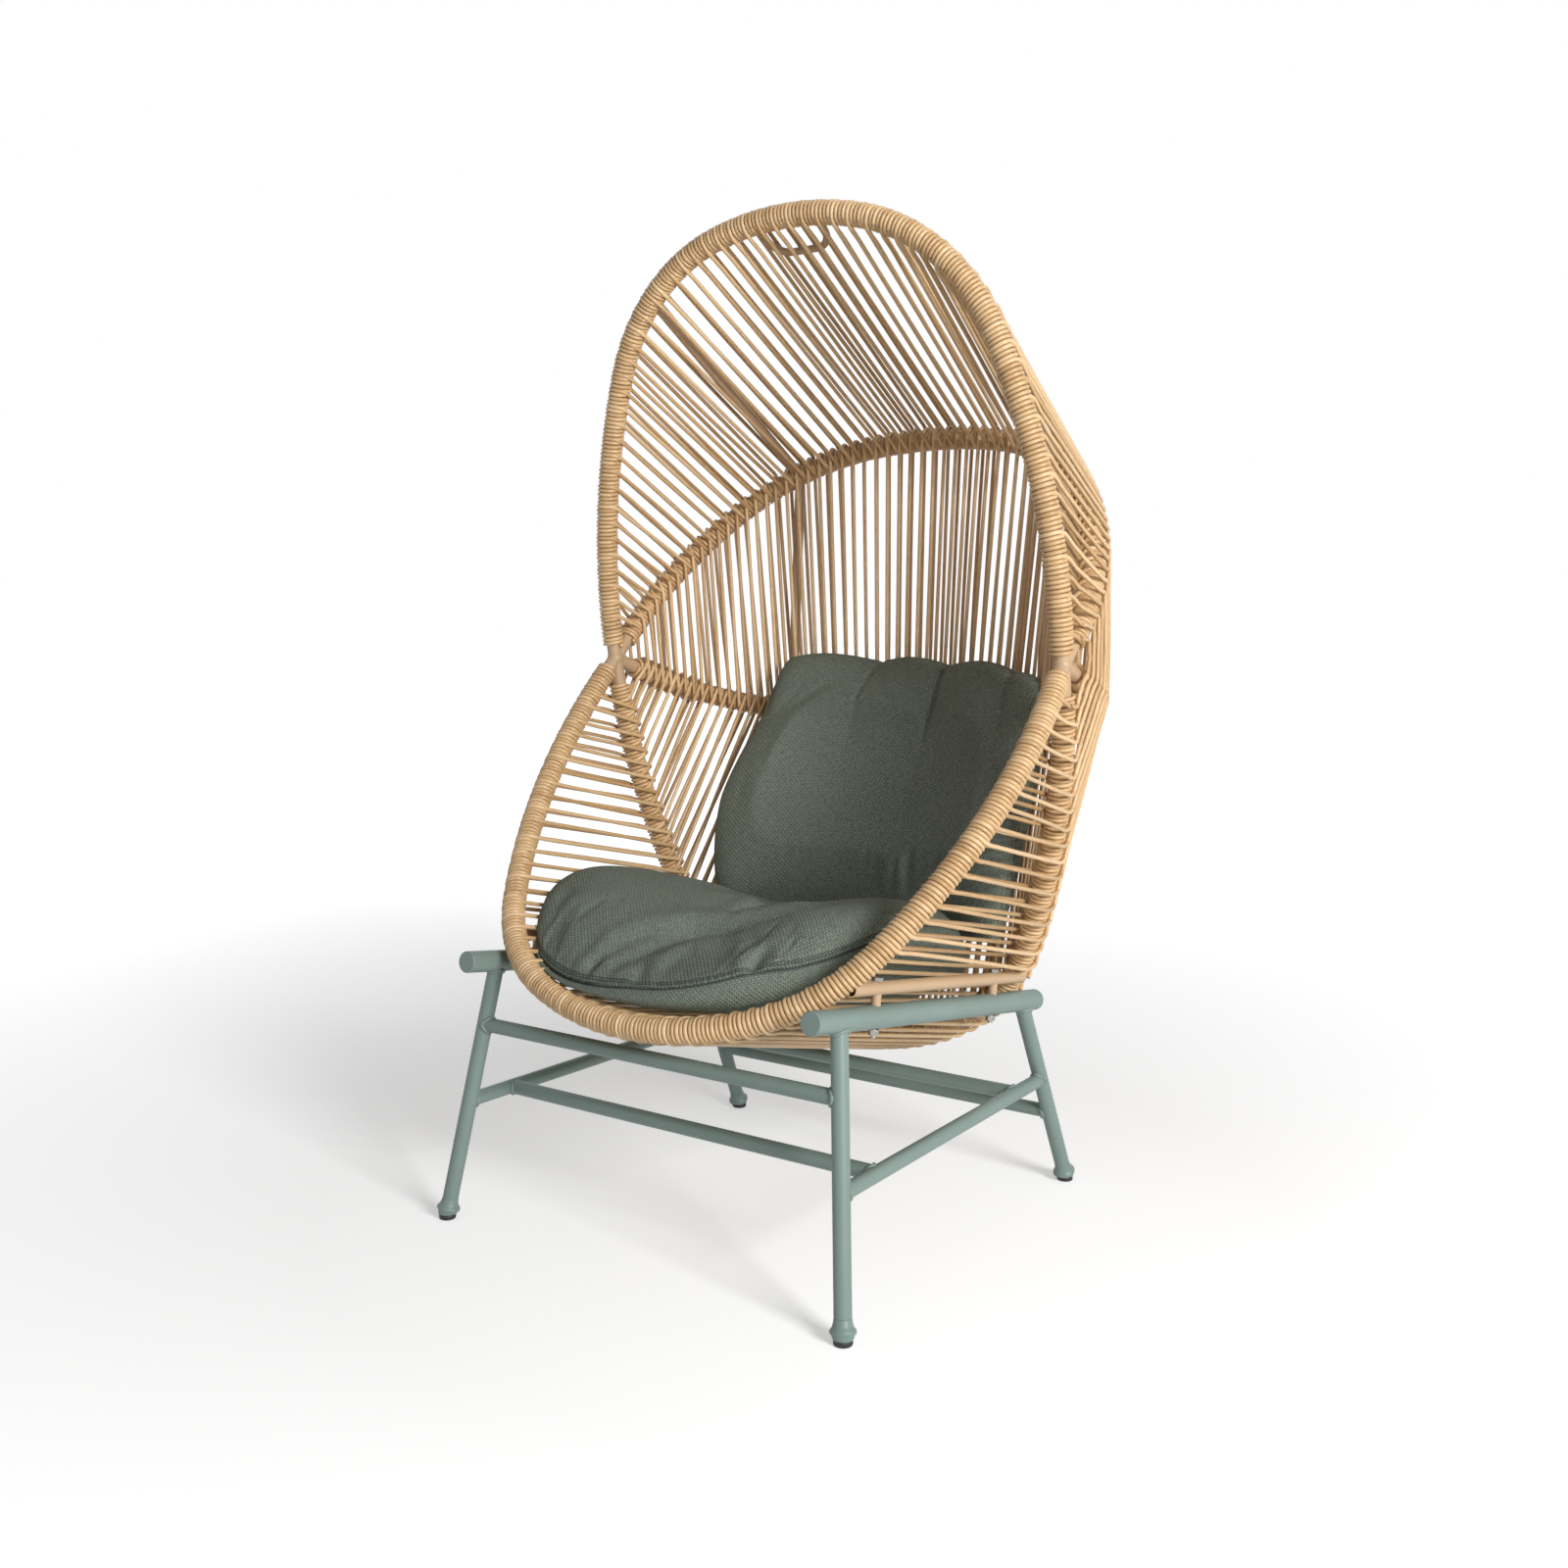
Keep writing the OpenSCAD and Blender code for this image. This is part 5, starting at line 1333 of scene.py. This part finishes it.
# Where up the cushion it is widest
WIDEST_SHARE = 0.42
# How its edge is rounded, and the share of its thickness that lies behind its edge
EDGE_ROUND = 0.072
EDGE_POWER = 2.2
REAR_SHARE = 0.4
# The shape of the corners, and how far the lower ones are drawn up
CORNER_POWER = 7
LOWER_CORNER_RISE = 0.012
# Drop of the top corners, the left one and the right one, which is pushed up in its corner
CORNER_DROPS = (0.010, 0.022)
# How far the top edge dips between the lobes, and how deep the dips between them are in front,
# from where up the cushion they begin to where they are full
SCALLOP = 0.011
SOFT_SHARE = 0.35
SOFT_RANGE = (0.3, 0.9)
# How far the left end of the top edge lies above its middle, and the right end below
TOP_TILT = 0.009
# Where the sewn channels lie across the cushion, how strongly each pulls, how wide they are, how
# far they wander on their way up, how deep they stay, and where up the cushion they begin
CHANNELS = (-0.27, 0.27, 0.80)
CHANNEL_PULLS = (0.3, 1.0, 0.5)
CHANNEL_WIDTH = 0.006
CHANNEL_WANDER = 0.035
CHANNEL_DEPTH_SHARE = 0.8
CHANNEL_START = 0.62
# Where the outer lobes would end, past the cushion's sides
LOBES_FROM = -1.2
LOBES_TO = 1.3
# How far the cushion has slid to the right
SLID = 0.012
# How much longer its cloth is towards its sides
CLOTH_BOW = 0.03


def edge_rise(distance):
    """How much of the thickness is reached at a distance from the edge."""
    t = np.minimum(1, distance / EDGE_ROUND)
    return (1 - (1 - t) ** EDGE_POWER) ** (1 / EDGE_POWER)


def lobe_wave(u):
    """None on the channels between the lobes, 1 on the crown of a lobe."""
    bounds = np.array([LOBES_FROM, *CHANNELS, LOBES_TO])
    i = np.clip(np.searchsorted(bounds, u) - 1, 0, len(bounds) - 2)
    return np.sin(math.pi * (u - bounds[i]) / (bounds[i + 1] - bounds[i]))


def channel_line(u, v, half):
    """How strongly a channel pulls at each place: a narrow line that fades down the cushion."""
    pull = np.zeros(u.shape)
    for place, strength in zip(CHANNELS, CHANNEL_PULLS):
        off = (u - place + CHANNEL_WANDER * (1 - v)) * half
        pull = np.maximum(pull, strength * np.exp(-(off / CHANNEL_WIDTH) ** 2))
    return pull * smooth((v - CHANNEL_START) / (1 - CHANNEL_START))


class EGG_OT_back_cushion(bpy.types.Operator):
    """Sews and fills the back cushion with its lobes and sewn channels"""
    bl_idname = "egg.back_cushion"
    bl_label = "Back Cushion"

    def execute(self, context):
        cushions, hoops = context.scene.egg_cushions, shell_hoops()
        columns = COLUMNS_PER_LOBE * cushions.lobes
        u, v = np.meshgrid(
            np.arange(columns + 1) / columns * 2 - 1, np.arange(BACK_ROWS + 1) / BACK_ROWS
        )
        half, x, z = self.outline(cushions, context.scene.egg_shell, u, v)
        edges = (1 - np.abs(u)) * half, np.minimum(v, 1 - v) * cushions.back_height
        front, rear = self.cut_covers(cushions, back_surface(hoops, x, z), u, v, edges)
        places = [np.stack([x, y, z], -1) for y in (front, rear)]
        points, faces, cloth = self.sew(places, np.stack([x, z + CLOTH_BOW * u ** 2, 0 * x], -1))
        channels = channel_line(u, v, half).ravel()
        pull, held = np.zeros(len(points)), np.ones(len(points))
        pull[:u.size] = channels
        held[:u.size] = np.maximum(
            smooth(1 - np.minimum(*edges).ravel() / BACK_HELD), HOLD * channels
        )
        piece = make_mesh(
            "back_cushion_cover", points, faces, BACK, material(melange_cloth),
            ["back_cushion"], {"pull": pull}
        )
        set_cloth(piece, cloth)
        inflate(piece, held, BACK_SWELL, BACK_SPARE)
        subdivide(piece)
        pull = read_numbers(piece.data.attributes["pull"].data, "value")
        push_out(piece, -cushions.channel * CHANNEL_DEPTH_SHARE * pull)
        return {"FINISHED"}

    def outline(self, cushions, shell, u, v):
        """Half widths, and places across and up, of a grid that spans the cushion's outline."""
        on_left = u < 0
        above = np.maximum(0, v - WIDEST_SHARE) / (1 - WIDEST_SHARE)
        below = np.maximum(0, WIDEST_SHARE - v) / WIDEST_SHARE
        top_power = np.where(on_left, *NARROWING_POWERS)
        narrowing = np.where(on_left, *TOP_NARROWINGS) * above ** top_power
        narrowing = narrowing + np.where(on_left, *FOOT_NARROWINGS) * below ** 2
        half = cushions.back_half_width * np.where(on_left, LEFT_WIDTH, 1) * (1 - narrowing)
        crest = shell.hub_height + cushions.back_rise
        corner = np.abs(u) ** CORNER_POWER
        drop = np.where(on_left, *CORNER_DROPS)
        high = crest - drop * corner - SCALLOP * (1 - lobe_wave(u)) - TOP_TILT * u
        low = crest - cushions.back_height - FOOT_SAG + LOWER_CORNER_RISE * corner
        return half, u * half + SLID, mix(low, high, v)

    def cut_covers(self, cushions, wall, u, v, edges):
        """How far back the front and the rear cover lie."""
        full = edge_rise(edges[0]) * edge_rise(edges[1])
        swell = BACK_SWELL * BACK_SWELL_SHARE
        thick = cushions.back_thickness - swell
        dip = (1 - lobe_wave(u)) * smooth((v - SOFT_RANGE[0]) / (SOFT_RANGE[1] - SOFT_RANGE[0]))
        soft = SOFT_SHARE * cushions.channel * dip
        front = wall - (REAR_SHARE + (1 - REAR_SHARE) * full) * thick + soft * full
        return front, wall - REAR_SHARE * (1 - full) * thick

    def sew(self, places, flat):
        """The cover's points and faces, and where each face's corners lie on the flat cloth. The
        rear shares the front's edge."""
        rows, columns = flat.shape[:2]
        index = np.arange(rows * columns).reshape(rows, columns)
        inner = np.zeros((rows, columns), bool)
        inner[1:-1, 1:-1] = True
        rear_index = index.copy()
        rear_index[inner] = rows * columns + np.arange(inner.sum())
        points = np.concatenate([places[0].reshape(-1, 3), places[1][inner]])
        faces, cloth = [], []
        for r in range(rows - 1):
            for c in range(columns - 1):
                quad = [(r, c), (r, c + 1), (r + 1, c + 1), (r + 1, c)]
                for grid, corners in ((index, quad), (rear_index, quad[::-1])):
                    faces.append([grid[q] for q in corners])
                    cloth += [flat[q] for q in corners]
        return points, faces, cloth


# ---------- frame, base and hardware ----------
def both_sides(*names):
    """Names of pieces that are there on the left and on the right."""
    return [f"{name}_{side}" for name in names for side in ("left", "right")]


SHELL_NODES = [
    *TUBES, *both_sides("hub", "canopy_rib", "back_rib", "lumbar_rib", "seat_rail"),
    "hanging_bracket", "mounting_spacers"
]
BASE_NODES = [
    *both_sides("side_rail", "front_leg", "rear_leg", "side_stretcher"), "rail_end_caps",
    "front_upper_crossbar", "front_lower_crossbar", "rear_upper_crossbar", "rear_lower_crossbar"
]
BOLT_NODES = ["mounting_bolts", "mounting_nuts", "mounting_washers"]
# Where a seat rail meets the front rim and the seat hoop, from the middle plane
RAIL_ON_RIM = 0.327
RAIL_ON_SEAT_HOOP = 0.336
BEAD_POINTS = 40
BEAD_SIDES = 8
BEAD_UNEVEN = 0.05
# How far a bead lies out along the bar, as a share of its radius
BEAD_OUT = 0.25
BEAD_SEED = 3
# Bars that meet as wide a bar end a little within its sides
EVEN_JOINT = 0.96
TURNED_SIDES = 48
# The foot collar from its foot over its lip and bulge to the fillet on the leg: radii as shares
# of its own, and heights above the glide
COLLAR_OUTLINE = [
    (0.76, -0.0040), (0.81, 0.0008), (0.84, 0.0030), (0.90, 0.0052), (0.98, 0.0070),
    (1.0, 0.0088), (0.985, 0.0106), (0.92, 0.0125), (0.83, 0.0142)
]
# The fillet: how far it stands out from the leg, and its heights above the glide
FILLET_OUTLINE = [(0.0018, 0.0170), (0.0008, 0.0205), (0.0002, 0.0250), (0, 0.0260)]
GLIDE_EDGE = 0.0028
GLIDE_EDGE_POINTS = 6
GLIDE_CHAMFER = 0.0008
GLIDE_CHAMFER_SHARE = 0.95
# Radius of the hole that closes a turned piece on its axis, too small to see
AXIS_HOLE = 0.0005


class EGG_OT_shell_frame(bpy.types.Operator):
    """Finishes the hubs, ribs, seat rails and bracket"""
    bl_idname = "egg.shell_frame"
    bl_label = "Shell Frame"

    def execute(self, context):
        for name in SHELL_NODES:
            finish_node(name, shell_paint())
        return {"FINISHED"}


class BaseLines:
    """The centre lines of one side of the base and what joins it to the other."""

    def __init__(self, side, hoops):
        base, shell = bpy.context.scene.egg_base, bpy.context.scene.egg_shell
        rim = hoops["front_rim"].at_x(side * RAIL_ON_RIM)
        seat = hoops["seat_hoop"].at_x(side * RAIL_ON_SEAT_HOOP)
        self.run = unit(seat - rim)
        self.down = unit(np.cross(np.cross(self.run, [0, 0, -1]), self.run))
        drop = (shell.tube_diameter + base.rail_diameter) / 2
        drop += base.seat_rail_diameter + base.spacer
        self.front_end = rim + drop * self.down - base.rail_reach * self.run
        self.front_top = self.on_rail(base.front_leg_inset)
        self.rear_top = self.on_rail(base.rail_length - base.rear_leg_inset)
        back = shell.hub_set_back
        self.front_foot = np.array([side * base.front_foot[0], back - base.front_foot[1], 0])
        self.rear_foot = np.array([side * base.rear_foot[0], back + base.rear_foot[1], 0])
        self.stretcher = [
            self.at_height(self.front_foot, self.front_top, base.stretcher_heights[0]),
            self.at_height(self.rear_foot, self.rear_top, base.stretcher_heights[1])
        ]
        self.along = unit(self.stretcher[1] - self.stretcher[0])
        self.bars = [
            self.at_height(self.front_foot, self.front_top, base.crossbars[0]),
            self.at_height(self.rear_foot, self.rear_top, base.crossbars[1]),
            self.stretcher[0] + base.crossbars[2] * self.along,
            self.stretcher[1] - base.crossbars[3] * self.along
        ]

    def on_rail(self, distance):
        """A place on the side rail, from its front end."""
        return self.front_end + distance * self.run

    @staticmethod
    def at_height(foot, top, height):
        """A place on a leg."""
        return mix(foot, top, height / (top[2] - foot[2]))


def weld_bead(end, way, radius, host_radius, host_way, bead, rng):
    """A bead round the joint of a round bar with the round tube that its centre line ends in."""
    u = unit(np.cross(way, host_way))
    ring = radius * circle(BEAD_POINTS, u, np.cross(way, u))
    # How far out along the bar each line of its wall leaves the host tube
    across = way - host_way * np.dot(way, host_way)
    flat = ring - host_way * (ring @ host_way)[:, None]
    a, b = across @ across, flat @ across
    c = np.sum(flat * flat, 1) - host_radius ** 2
    out = (-b + np.sqrt(np.maximum(0, b * b - a * c))) / a
    path = end + ring + way * (out + BEAD_OUT * bead)[:, None]
    sideways = unit(ring)
    up = unit(np.cross(np.roll(path, -1, 0) - np.roll(path, 1, 0), sideways))
    size = bead * (1 + rng.normal(0, BEAD_UNEVEN, BEAD_POINTS))[:, None, None]
    points = path[:, None] + size * circle(BEAD_SIDES, sideways[:, None], up[:, None])
    return points.reshape(-1, 3), ring_faces(BEAD_POINTS, BEAD_SIDES, True)


def turned(foot, way, profile, floor_cut):
    """A piece turned round a line, from radii and distances along it, and cut off level below."""
    u = unit(np.cross(way, [0, 1, 0]))
    radii, levels = np.array(profile).T[:, :, None, None]
    points = foot + radii * circle(TURNED_SIDES, u, np.cross(way, u)) + way * levels
    points[..., 2] = np.maximum(points[..., 2], floor_cut)
    return points.reshape(-1, 3), ring_faces(len(profile), TURNED_SIDES, True)


class EGG_OT_base(bpy.types.Operator):
    """Finishes the four-legged base: paint, weld beads, foot collars, glides and bolts"""
    bl_idname = "egg.base"
    bl_label = "Base"

    def execute(self, context):
        for name in BASE_NODES:
            finish_node(name, base_paint())
        for name in BOLT_NODES:
            finish_node(name, material(zinc_plate))
        hoops = shell_hoops()
        lines = [BaseLines(side, hoops) for side in (-1, 1)]
        self.weld(context.scene.egg_base, lines)
        self.make_feet(context.scene.egg_base, lines)
        return {"FINISHED"}

    def weld(self, base, lines):
        """Runs a weld bead round each joint of the base."""
        rng = np.random.default_rng(BEAD_SEED)
        rail, leg, bar = base.rail_diameter / 2, base.leg_diameter / 2, base.bar_diameter / 2
        pile = MeshPile()
        for side in lines:
            front = unit(side.front_foot - side.front_top)
            rear = unit(side.rear_foot - side.rear_top)
            across = np.array([-np.sign(side.front_top[0]), 0, 0])
            # Where a bar ends, which way it leads, its radius, and the tube that it ends on
            joints = [
                (side.front_top, front, leg, rail, side.run),
                (side.rear_top, rear, leg, rail, side.run),
                (side.stretcher[0], side.along, bar, leg, front),
                (side.stretcher[1], -side.along, bar, leg, rear),
                (side.bars[0], across, bar, leg, front), (side.bars[1], across, bar, leg, rear),
                (side.bars[2], across, EVEN_JOINT * bar, bar, side.along),
                (side.bars[3], across, EVEN_JOINT * bar, bar, side.along)
            ]
            for joint in joints:
                pile.add(*weld_bead(*joint, base.weld, rng))
        pile.make("base_weld_beads", base_paint(), "base_paint")

    def make_feet(self, base, lines):
        """Turns the foot collars and moulds the glides."""
        low, edge = base.glide_height, GLIDE_EDGE
        neck, wide, radius = (d / 2 for d in (base.leg_diameter, base.collar, base.glide_diameter))
        collar = [(neck, low + COLLAR_OUTLINE[0][1])]
        collar += [(wide * share, low + height) for share, height in COLLAR_OUTLINE]
        collar += [(neck + out, low + height) for out, height in FILLET_OUTLINE]
        glide = [(AXIS_HOLE, 0)] + [
            (radius - edge * (1 - math.sin(a)), edge * (1 - math.cos(a)))
            for a in np.linspace(0, math.pi / 2, GLIDE_EDGE_POINTS)
        ]
        glide += [
            (radius, low - GLIDE_CHAMFER), (radius * GLIDE_CHAMFER_SHARE, low), (AXIS_HOLE, low)
        ]
        collars, glides = MeshPile(), MeshPile()
        for side in lines:
            for foot, top in ((side.front_foot, side.front_top), (side.rear_foot, side.rear_top)):
                collars.add(*turned(foot, unit(top - foot), collar, low))
                below = BaseLines.at_height(foot, top, low) * [1, 1, 0]
                glides.add(*turned(below, np.array([0, 0, 1.0]), glide, 0))
        collars.make("foot_collars_turned", base_paint(), "base_paint", "foot_collars")
        plastic = material(moulded_plastic)
        glides.make("foot_glides_moulded", plastic, "glide_plastic", "foot_glides")


# ---------- stage ----------
def seen_or_mirrored(tree, shown, otherwise=0.0):
    """One strength for what the camera sees, also in gloss and through glass, another for light."""
    path = add_node(tree, "ShaderNodeLightPath").outputs
    seen = path["Is Camera Ray"]
    for ray in ("Is Glossy Ray", "Is Transmission Ray"):
        seen = add_node(
            tree, "ShaderNodeMath", [(0, seen), (1, path[ray])], operation="MAXIMUM"
        ).outputs[0]
    return add_node(
        tree, "ShaderNodeMapRange", [("Value", seen), ("To Min", otherwise), ("To Max", shown)]
    ).outputs["Result"]


def put(name, data, place, way):
    """Puts a lamp or a camera in its place, and aims it."""
    thing = bpy.data.objects.new(name, data)
    bpy.context.scene.collection.objects.link(thing)
    thing.location = place
    thing.rotation_mode = "QUATERNION"
    thing.rotation_quaternion = way.to_track_quat("-Z", "Y")
    return thing


LAMP_TARGET = (0, 0, 0.8)
FLOOR_REACH = 60
# Distances from the chair over which the floor's own light grows
LIFT_GROWS = (0.8, 4.0)
# The daylight from the sides and from overhead, as shares of its strength
SIDE_LIGHT = 1.2
TOP_LIGHT = 0.45
SENSOR = 36


class EGG_OT_stage(bpy.types.Operator):
    """Sets the floor, the light and the camera"""
    bl_idname = "egg.stage"
    bl_label = "Stage"

    def execute(self, context):
        stage = context.scene.egg_stage
        self.make_floor(stage)
        self.make_daylight(context, stage)
        self.make_lamp(stage)
        self.make_camera(context, stage)
        context.scene.view_settings.view_transform = "Standard"
        return {"FINISHED"}

    def make_floor(self, stage):
        reach = FLOOR_REACH
        mesh = bpy.data.meshes.new("floor")
        corners = [(-reach, -reach, 0), (reach, -reach, 0), (reach, reach, 0), (-reach, reach, 0)]
        mesh.from_pydata(corners, [], [(0, 1, 2, 3)])
        floor = bpy.data.objects.new("floor", mesh)
        bpy.context.scene.collection.objects.link(floor)
        made, tree, shader = new_material("studio_floor", Roughness=0.9, Specular_IOR_Level=0.0)
        shader.inputs["Base Color"].default_value = linear(stage.floor)
        # A little light of its own keeps the open floor white to the eye and in reflections. It
        # grows away from the chair, where the lamp's light falls off.
        shader.inputs["Emission Color"].default_value = linear(stage.floor)
        far = add_node(
            tree, "ShaderNodeVectorMath", [(0, in_object_space(tree))], operation="LENGTH"
        )
        lift = add_node(
            tree, "ShaderNodeMapRange",
            [("Value", far.outputs["Value"]), ("From Min", LIFT_GROWS[0]),
             ("From Max", LIFT_GROWS[1]), ("To Min", stage.floor_lift),
             ("To Max", stage.floor_lift_far)]
        )
        strength = add_node(
            tree, "ShaderNodeMath", [(0, seen_or_mirrored(tree, 1.0)), (1, lift.outputs["Result"])],
            operation="MULTIPLY"
        )
        tree.links.new(strength.outputs[0], shader.inputs["Emission Strength"])
        mesh.materials.append(made)

    def make_daylight(self, context, stage):
        world = bpy.data.worlds.new("daylight")
        context.scene.world = world
        world.use_nodes = True
        tree = world.node_tree
        tree.nodes.clear()
        # Softer from overhead than from the sides, as between the walls of a studio
        way = add_node(
            tree, "ShaderNodeSeparateXYZ", [(0, add_node(tree, "ShaderNodeTexCoord").outputs[0])]
        )
        level = add_node(
            tree, "ShaderNodeMapRange",
            [("Value", way.outputs["Z"]), ("To Min", stage.daylight * SIDE_LIGHT),
             ("To Max", stage.daylight * TOP_LIGHT)]
        )
        strength = seen_or_mirrored(tree, 1.0, level.outputs["Result"])
        sky = add_node(
            tree, "ShaderNodeBackground",
            [("Color", (1, 1, 1, 1)), ("Strength", strength)]
        )
        add_node(tree, "ShaderNodeOutputWorld", [("Surface", sky.outputs[0])])

    def make_lamp(self, stage):
        """A large square lamp in front of the chair, on its right."""
        data = bpy.data.lights.new("key_lamp", "AREA")
        data.energy, data.size = stage.key, stage.key_size
        put("key_lamp", data, stage.key_place, Vector(LAMP_TARGET) - Vector(stage.key_place))

    def make_camera(self, context, stage):
        data = bpy.data.cameras.new("camera")
        data.lens, data.sensor_width = stage.lens, SENSOR
        turn, rise = math.radians(stage.azimuth), math.radians(stage.elevation)
        level = math.cos(rise)
        way = Vector((-math.sin(turn) * level, math.cos(turn) * level, -math.sin(rise)))
        context.scene.camera = put("camera", data, stage.place, way)


class EGG_PT_panel(bpy.types.Panel):
    """The steps that dress the chair, and their sizes and colours"""
    bl_idname = "EGG_PT_panel"
    bl_label = "Egg Chair"
    bl_space_type = "VIEW_3D"
    bl_region_type = "UI"
    bl_category = "Egg Chair"

    def draw(self, context):
        for operator in STEPS:
            self.layout.operator(operator.bl_idname)
        for key in GROUPS:
            box = self.layout.box()
            box.label(text=key.replace("egg_", "").title())
            for name in GROUPS[key].__annotations__:
                box.prop(getattr(context.scene, key), name)


GROUPS = {
    "egg_shell": ShellSettings, "egg_cord": CordSettings, "egg_cushions": CushionSettings,
    "egg_base": BaseSettings, "egg_stage": StageSettings
}
STEPS = [
    EGG_OT_stage, EGG_OT_shell_frame, EGG_OT_base, EGG_OT_windings, EGG_OT_strings,
    EGG_OT_seat_cushion, EGG_OT_back_cushion
]


def register():
    for cls in [*GROUPS.values(), *STEPS, EGG_PT_panel]:
        bpy.utils.register_class(cls)
    for key, group in GROUPS.items():
        setattr(bpy.types.Scene, key, PointerProperty(type=group))


def unregister():
    for key in GROUPS:
        delattr(bpy.types.Scene, key)
    for cls in reversed([*GROUPS.values(), *STEPS, EGG_PT_panel]):
        bpy.utils.unregister_class(cls)


def main():
    """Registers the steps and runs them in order."""
    register()
    for operator in STEPS:
        getattr(bpy.ops.egg, operator.bl_idname.split(".")[1])()


if __name__ == "__main__":
    main()
